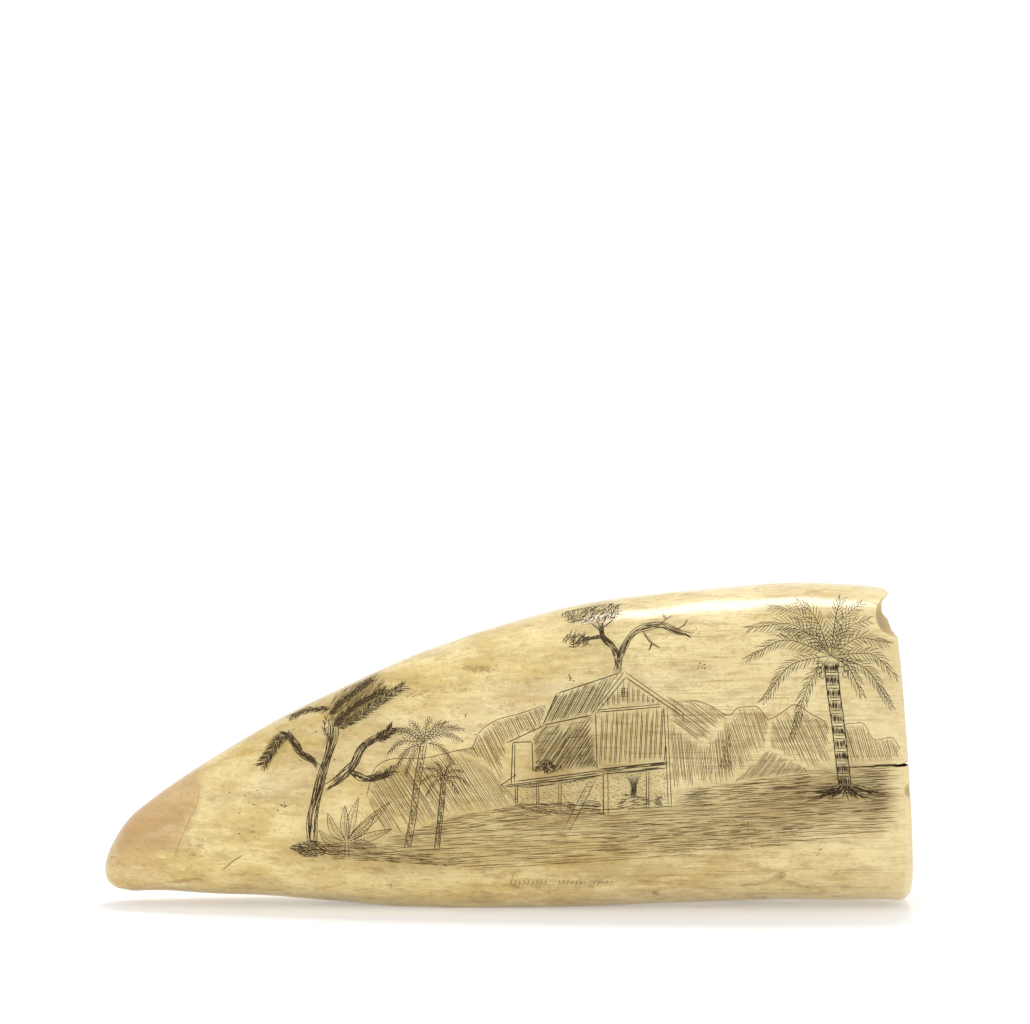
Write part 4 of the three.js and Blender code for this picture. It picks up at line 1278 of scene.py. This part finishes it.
HONEY = [
    (HOUSE_FACE, 76, 26, 14, 8, 0.4), (HOUSE_FACE, 96, 34, 8, 7, 0.35), (HOUSE_FACE, 110, 17, 26, 5, 0.3),
    (HOUSE_FACE, 88, 47, 8, 3.2, 0.8), (HOUSE_FACE, 120, 8, 16, 3, 0.9), (HOUSE_FACE, 99, 12, 10, 3, 0.6),
    (HOUSE_FACE, 123, 54, 7, 3, 0.5), (HOUSE_FACE, 141, 44, 8, 3, 0.5), (HOUSE_FACE, 112, 36, 5, 7, 0.5),
    (HOUSE_FACE, 158, 8, 8, 3, 0.4), (BIRD_FACE, 122, 16, 30, 6, 1.4), (BIRD_FACE, 150, 25, 20, 4, 1.2),
    (BIRD_FACE, 150, 44, 9, 4, 0.4), (BIRD_FACE, 40, 30, 8, 5, 0.4), (BIRD_FACE, 62, 18, 6, 3, 0.3),
    (BIRD_FACE, 86, 26, 9, 9, 0.7), (BIRD_FACE, 104, 38, 14, 8, 0.6),
]
TIP_LINES = {
    BIRD_FACE: smooth_through([(0, 33), (7.1, 30.3), (12.6, 28.4), (20.7, 23.6), (27, 24.3), (40, 25)]),
    HOUSE_FACE: smooth_through([(0, 9), (8, 13.3), (18.7, 17.7), (22.1, 19.4), (27.8, 20.4), (40, 22)]),
}


def spread_out(table, cells):
    """A table of numbers blurred both ways with a bell curve."""
    steps = np.arange(-3 * cells, 3 * cells + 1)
    bell = np.exp(-0.5 * (steps / cells) ** 2)
    bell /= bell.sum()
    for axis in (0, 1):
        table = np.apply_along_axis(lambda row: np.convolve(row, bell, "same"), axis, table)
    return table


def at_places(table, x, z):
    """The table's numbers at places in millimetres, between the four nearest cells."""
    u = np.clip(x / HAZE_CELL - 0.5, 0, table.shape[0] - 1.001)
    v = np.clip(z / HAZE_CELL - 0.5, 0, table.shape[1] - 1.001)
    i, j = u.astype(int), v.astype(int)
    s, t = u - i, v - j
    near = table[i, j] * (1 - s) + table[i + 1, j] * s
    far = table[i, j + 1] * (1 - s) + table[i + 1, j + 1] * s
    return near * (1 - t) + far * t


def stain_tooth():
    """Writes four numbers on each vertex: the ink's haze, the stains, how far it lies before the tip's
    line, and how near a narrow edge it is."""
    count = len(tooth.data.vertices)
    flat = np.empty(count * 3)
    tooth.data.vertices.foreach_get("co", flat)
    x, y, z = (flat.reshape(-1, 3) / METRES - (TIP_X, 0, -REST_FLAT_CUT)).T
    haze, stain, before_tip = np.zeros(count), np.zeros(count), np.zeros(count)
    for face in (HOUSE_FACE, BIRD_FACE):
        strokes = np.concatenate(inked[face])
        cells = [np.arange(0, 172, HAZE_CELL), np.arange(0, 72, HAZE_CELL)]
        table, _, _ = np.histogram2d(strokes[:, 0], strokes[:, 1], cells, weights=strokes[:, 2])
        own = np.sign(y) == face
        haze[own] = at_places(spread_out(table, HAZE_SPREAD), x, z)[own]
        before_tip[own] = (TIP_LINES[face](z) - x)[own]
    honey = np.zeros(count)
    for spots, values, power in [(STAINS, stain, 1.5), (HONEY, honey, 1)]:
        for face, at_x, at_z, wide, high, strength in spots:
            from_middle = ((x - at_x) / wide) ** 2 + ((z - at_z) / high) ** 2
            values += strength * np.exp(-from_middle ** power) * (np.sign(y) == face)
    add_attribute(tooth, "haze", haze)
    add_attribute(tooth, "stain", stain)
    add_attribute(tooth, "honey", honey)
    add_attribute(tooth, "before_tip", before_tip)
    # The narrow-edge number: full along the lower, straight edge, partly dirt and partly painted shade, and a
    # quarter along the upper edge.
    centre, half_height, _, _ = section_at(np.maximum(x, 0.5))
    edge = smooth_step(np.abs(z - centre) / half_height, 0.72, 1)
    add_attribute(tooth, "edge", edge * np.where(z < centre, 1, 0.25))


stain_tooth()


# The setting: a pale table and plain soft light. A long white lamp hangs over the tooth and shows as the
# streak below its upper edge, and pale walls stand all round.
CAMERA_DISTANCE = 900.0
CAMERA_TILT = math.radians(3)
AIM = (1.7, 0.0, 82.9)
VIEW_WIDTH = 216.7
SENSOR = 36.0
TABLE_SIZE = 1.1

camera_data = bpy.data.cameras.new("camera")
camera_data.sensor_width = SENSOR
camera_data.lens = SENSOR * CAMERA_DISTANCE / VIEW_WIDTH
camera = bpy.data.objects.new("camera", camera_data)
camera.location = (
    AIM[0] * METRES,
    -CAMERA_DISTANCE * math.cos(CAMERA_TILT) * METRES,
    (AIM[2] + CAMERA_DISTANCE * math.sin(CAMERA_TILT)) * METRES,
)
camera.rotation_euler = (math.pi / 2 - CAMERA_TILT, 0, 0)
bpy.context.scene.collection.objects.link(camera)
bpy.context.scene.camera = camera

corner = TABLE_SIZE / 2
table_mesh = bpy.data.meshes.new("table")
table_corners = [(-corner, -corner, 0), (corner, -corner, 0), (corner, corner, 0), (-corner, corner, 0)]
table_mesh.from_pydata(table_corners, [], [(0, 1, 2, 3)])
table = bpy.data.objects.new("table", table_mesh)
bpy.context.scene.collection.objects.link(table)
table_paint = bpy.data.materials.new("table_paint")
table_paint.use_nodes = True
table_shader = table_paint.node_tree.nodes["Principled BSDF"]
table_shader.inputs["Base Color"].default_value = (0.74, 0.74, 0.735, 1)
table_shader.inputs["Roughness"].default_value = 0.9
table_shader.inputs["Specular IOR Level"].default_value = 0.1
table_shader.inputs["Emission Color"].default_value = (1, 1, 1, 1)
table_shader.inputs["Emission Strength"].default_value = 0.3
table_mesh.materials.append(table_paint)


def soft_lamp(name, size, place, watts):
    """A rectangular lamp that faces the tooth's middle."""
    data = bpy.data.lights.new(name, "AREA")
    data.shape = "RECTANGLE"
    data.size, data.size_y = size
    data.energy = watts
    lamp = bpy.data.objects.new(name, data)
    lamp.location = place
    target = np.array([0, 0, 0.034])
    direction = target - np.array(place)
    flat = math.hypot(direction[0], direction[1])
    heading = math.atan2(direction[1], direction[0]) - math.pi / 2
    lamp.rotation_euler = (math.atan2(flat, -direction[2]), 0, heading)
    bpy.context.scene.collection.objects.link(lamp)


soft_lamp("lamp_over", (0.28, 0.17), (0.05, 0.16, 0.6), 1.7)
soft_lamp("lamp_front", (0.9, 0.6), (-0.5, -1.0, 0.6), 2.5)

world = bpy.data.worlds.new("studio")
bpy.context.scene.world = world
world.use_nodes = True
sky = world.node_tree.nodes
for node in list(sky):
    sky.remove(node)
place_node = sky.new("ShaderNodeTexCoord")
split_node = sky.new("ShaderNodeSeparateXYZ")
height_node = sky.new("ShaderNodeMapRange")
height_node.inputs["From Min"].default_value = 0.12
height_node.inputs["From Max"].default_value = 0.5
height_node.inputs["To Min"].default_value = 1.05
height_node.inputs["To Max"].default_value = 0.78
light_node = sky.new("ShaderNodeBackground")
light_node.inputs["Color"].default_value = (1, 1, 1, 1)
out_node = sky.new("ShaderNodeOutputWorld")
join = world.node_tree.links.new
join(place_node.outputs["Generated"], split_node.inputs[0])
join(split_node.outputs["Z"], height_node.inputs["Value"])
join(height_node.outputs[0], light_node.inputs["Strength"])
join(light_node.outputs[0], out_node.inputs["Surface"])
bpy.context.scene.view_settings.view_transform = "Standard"
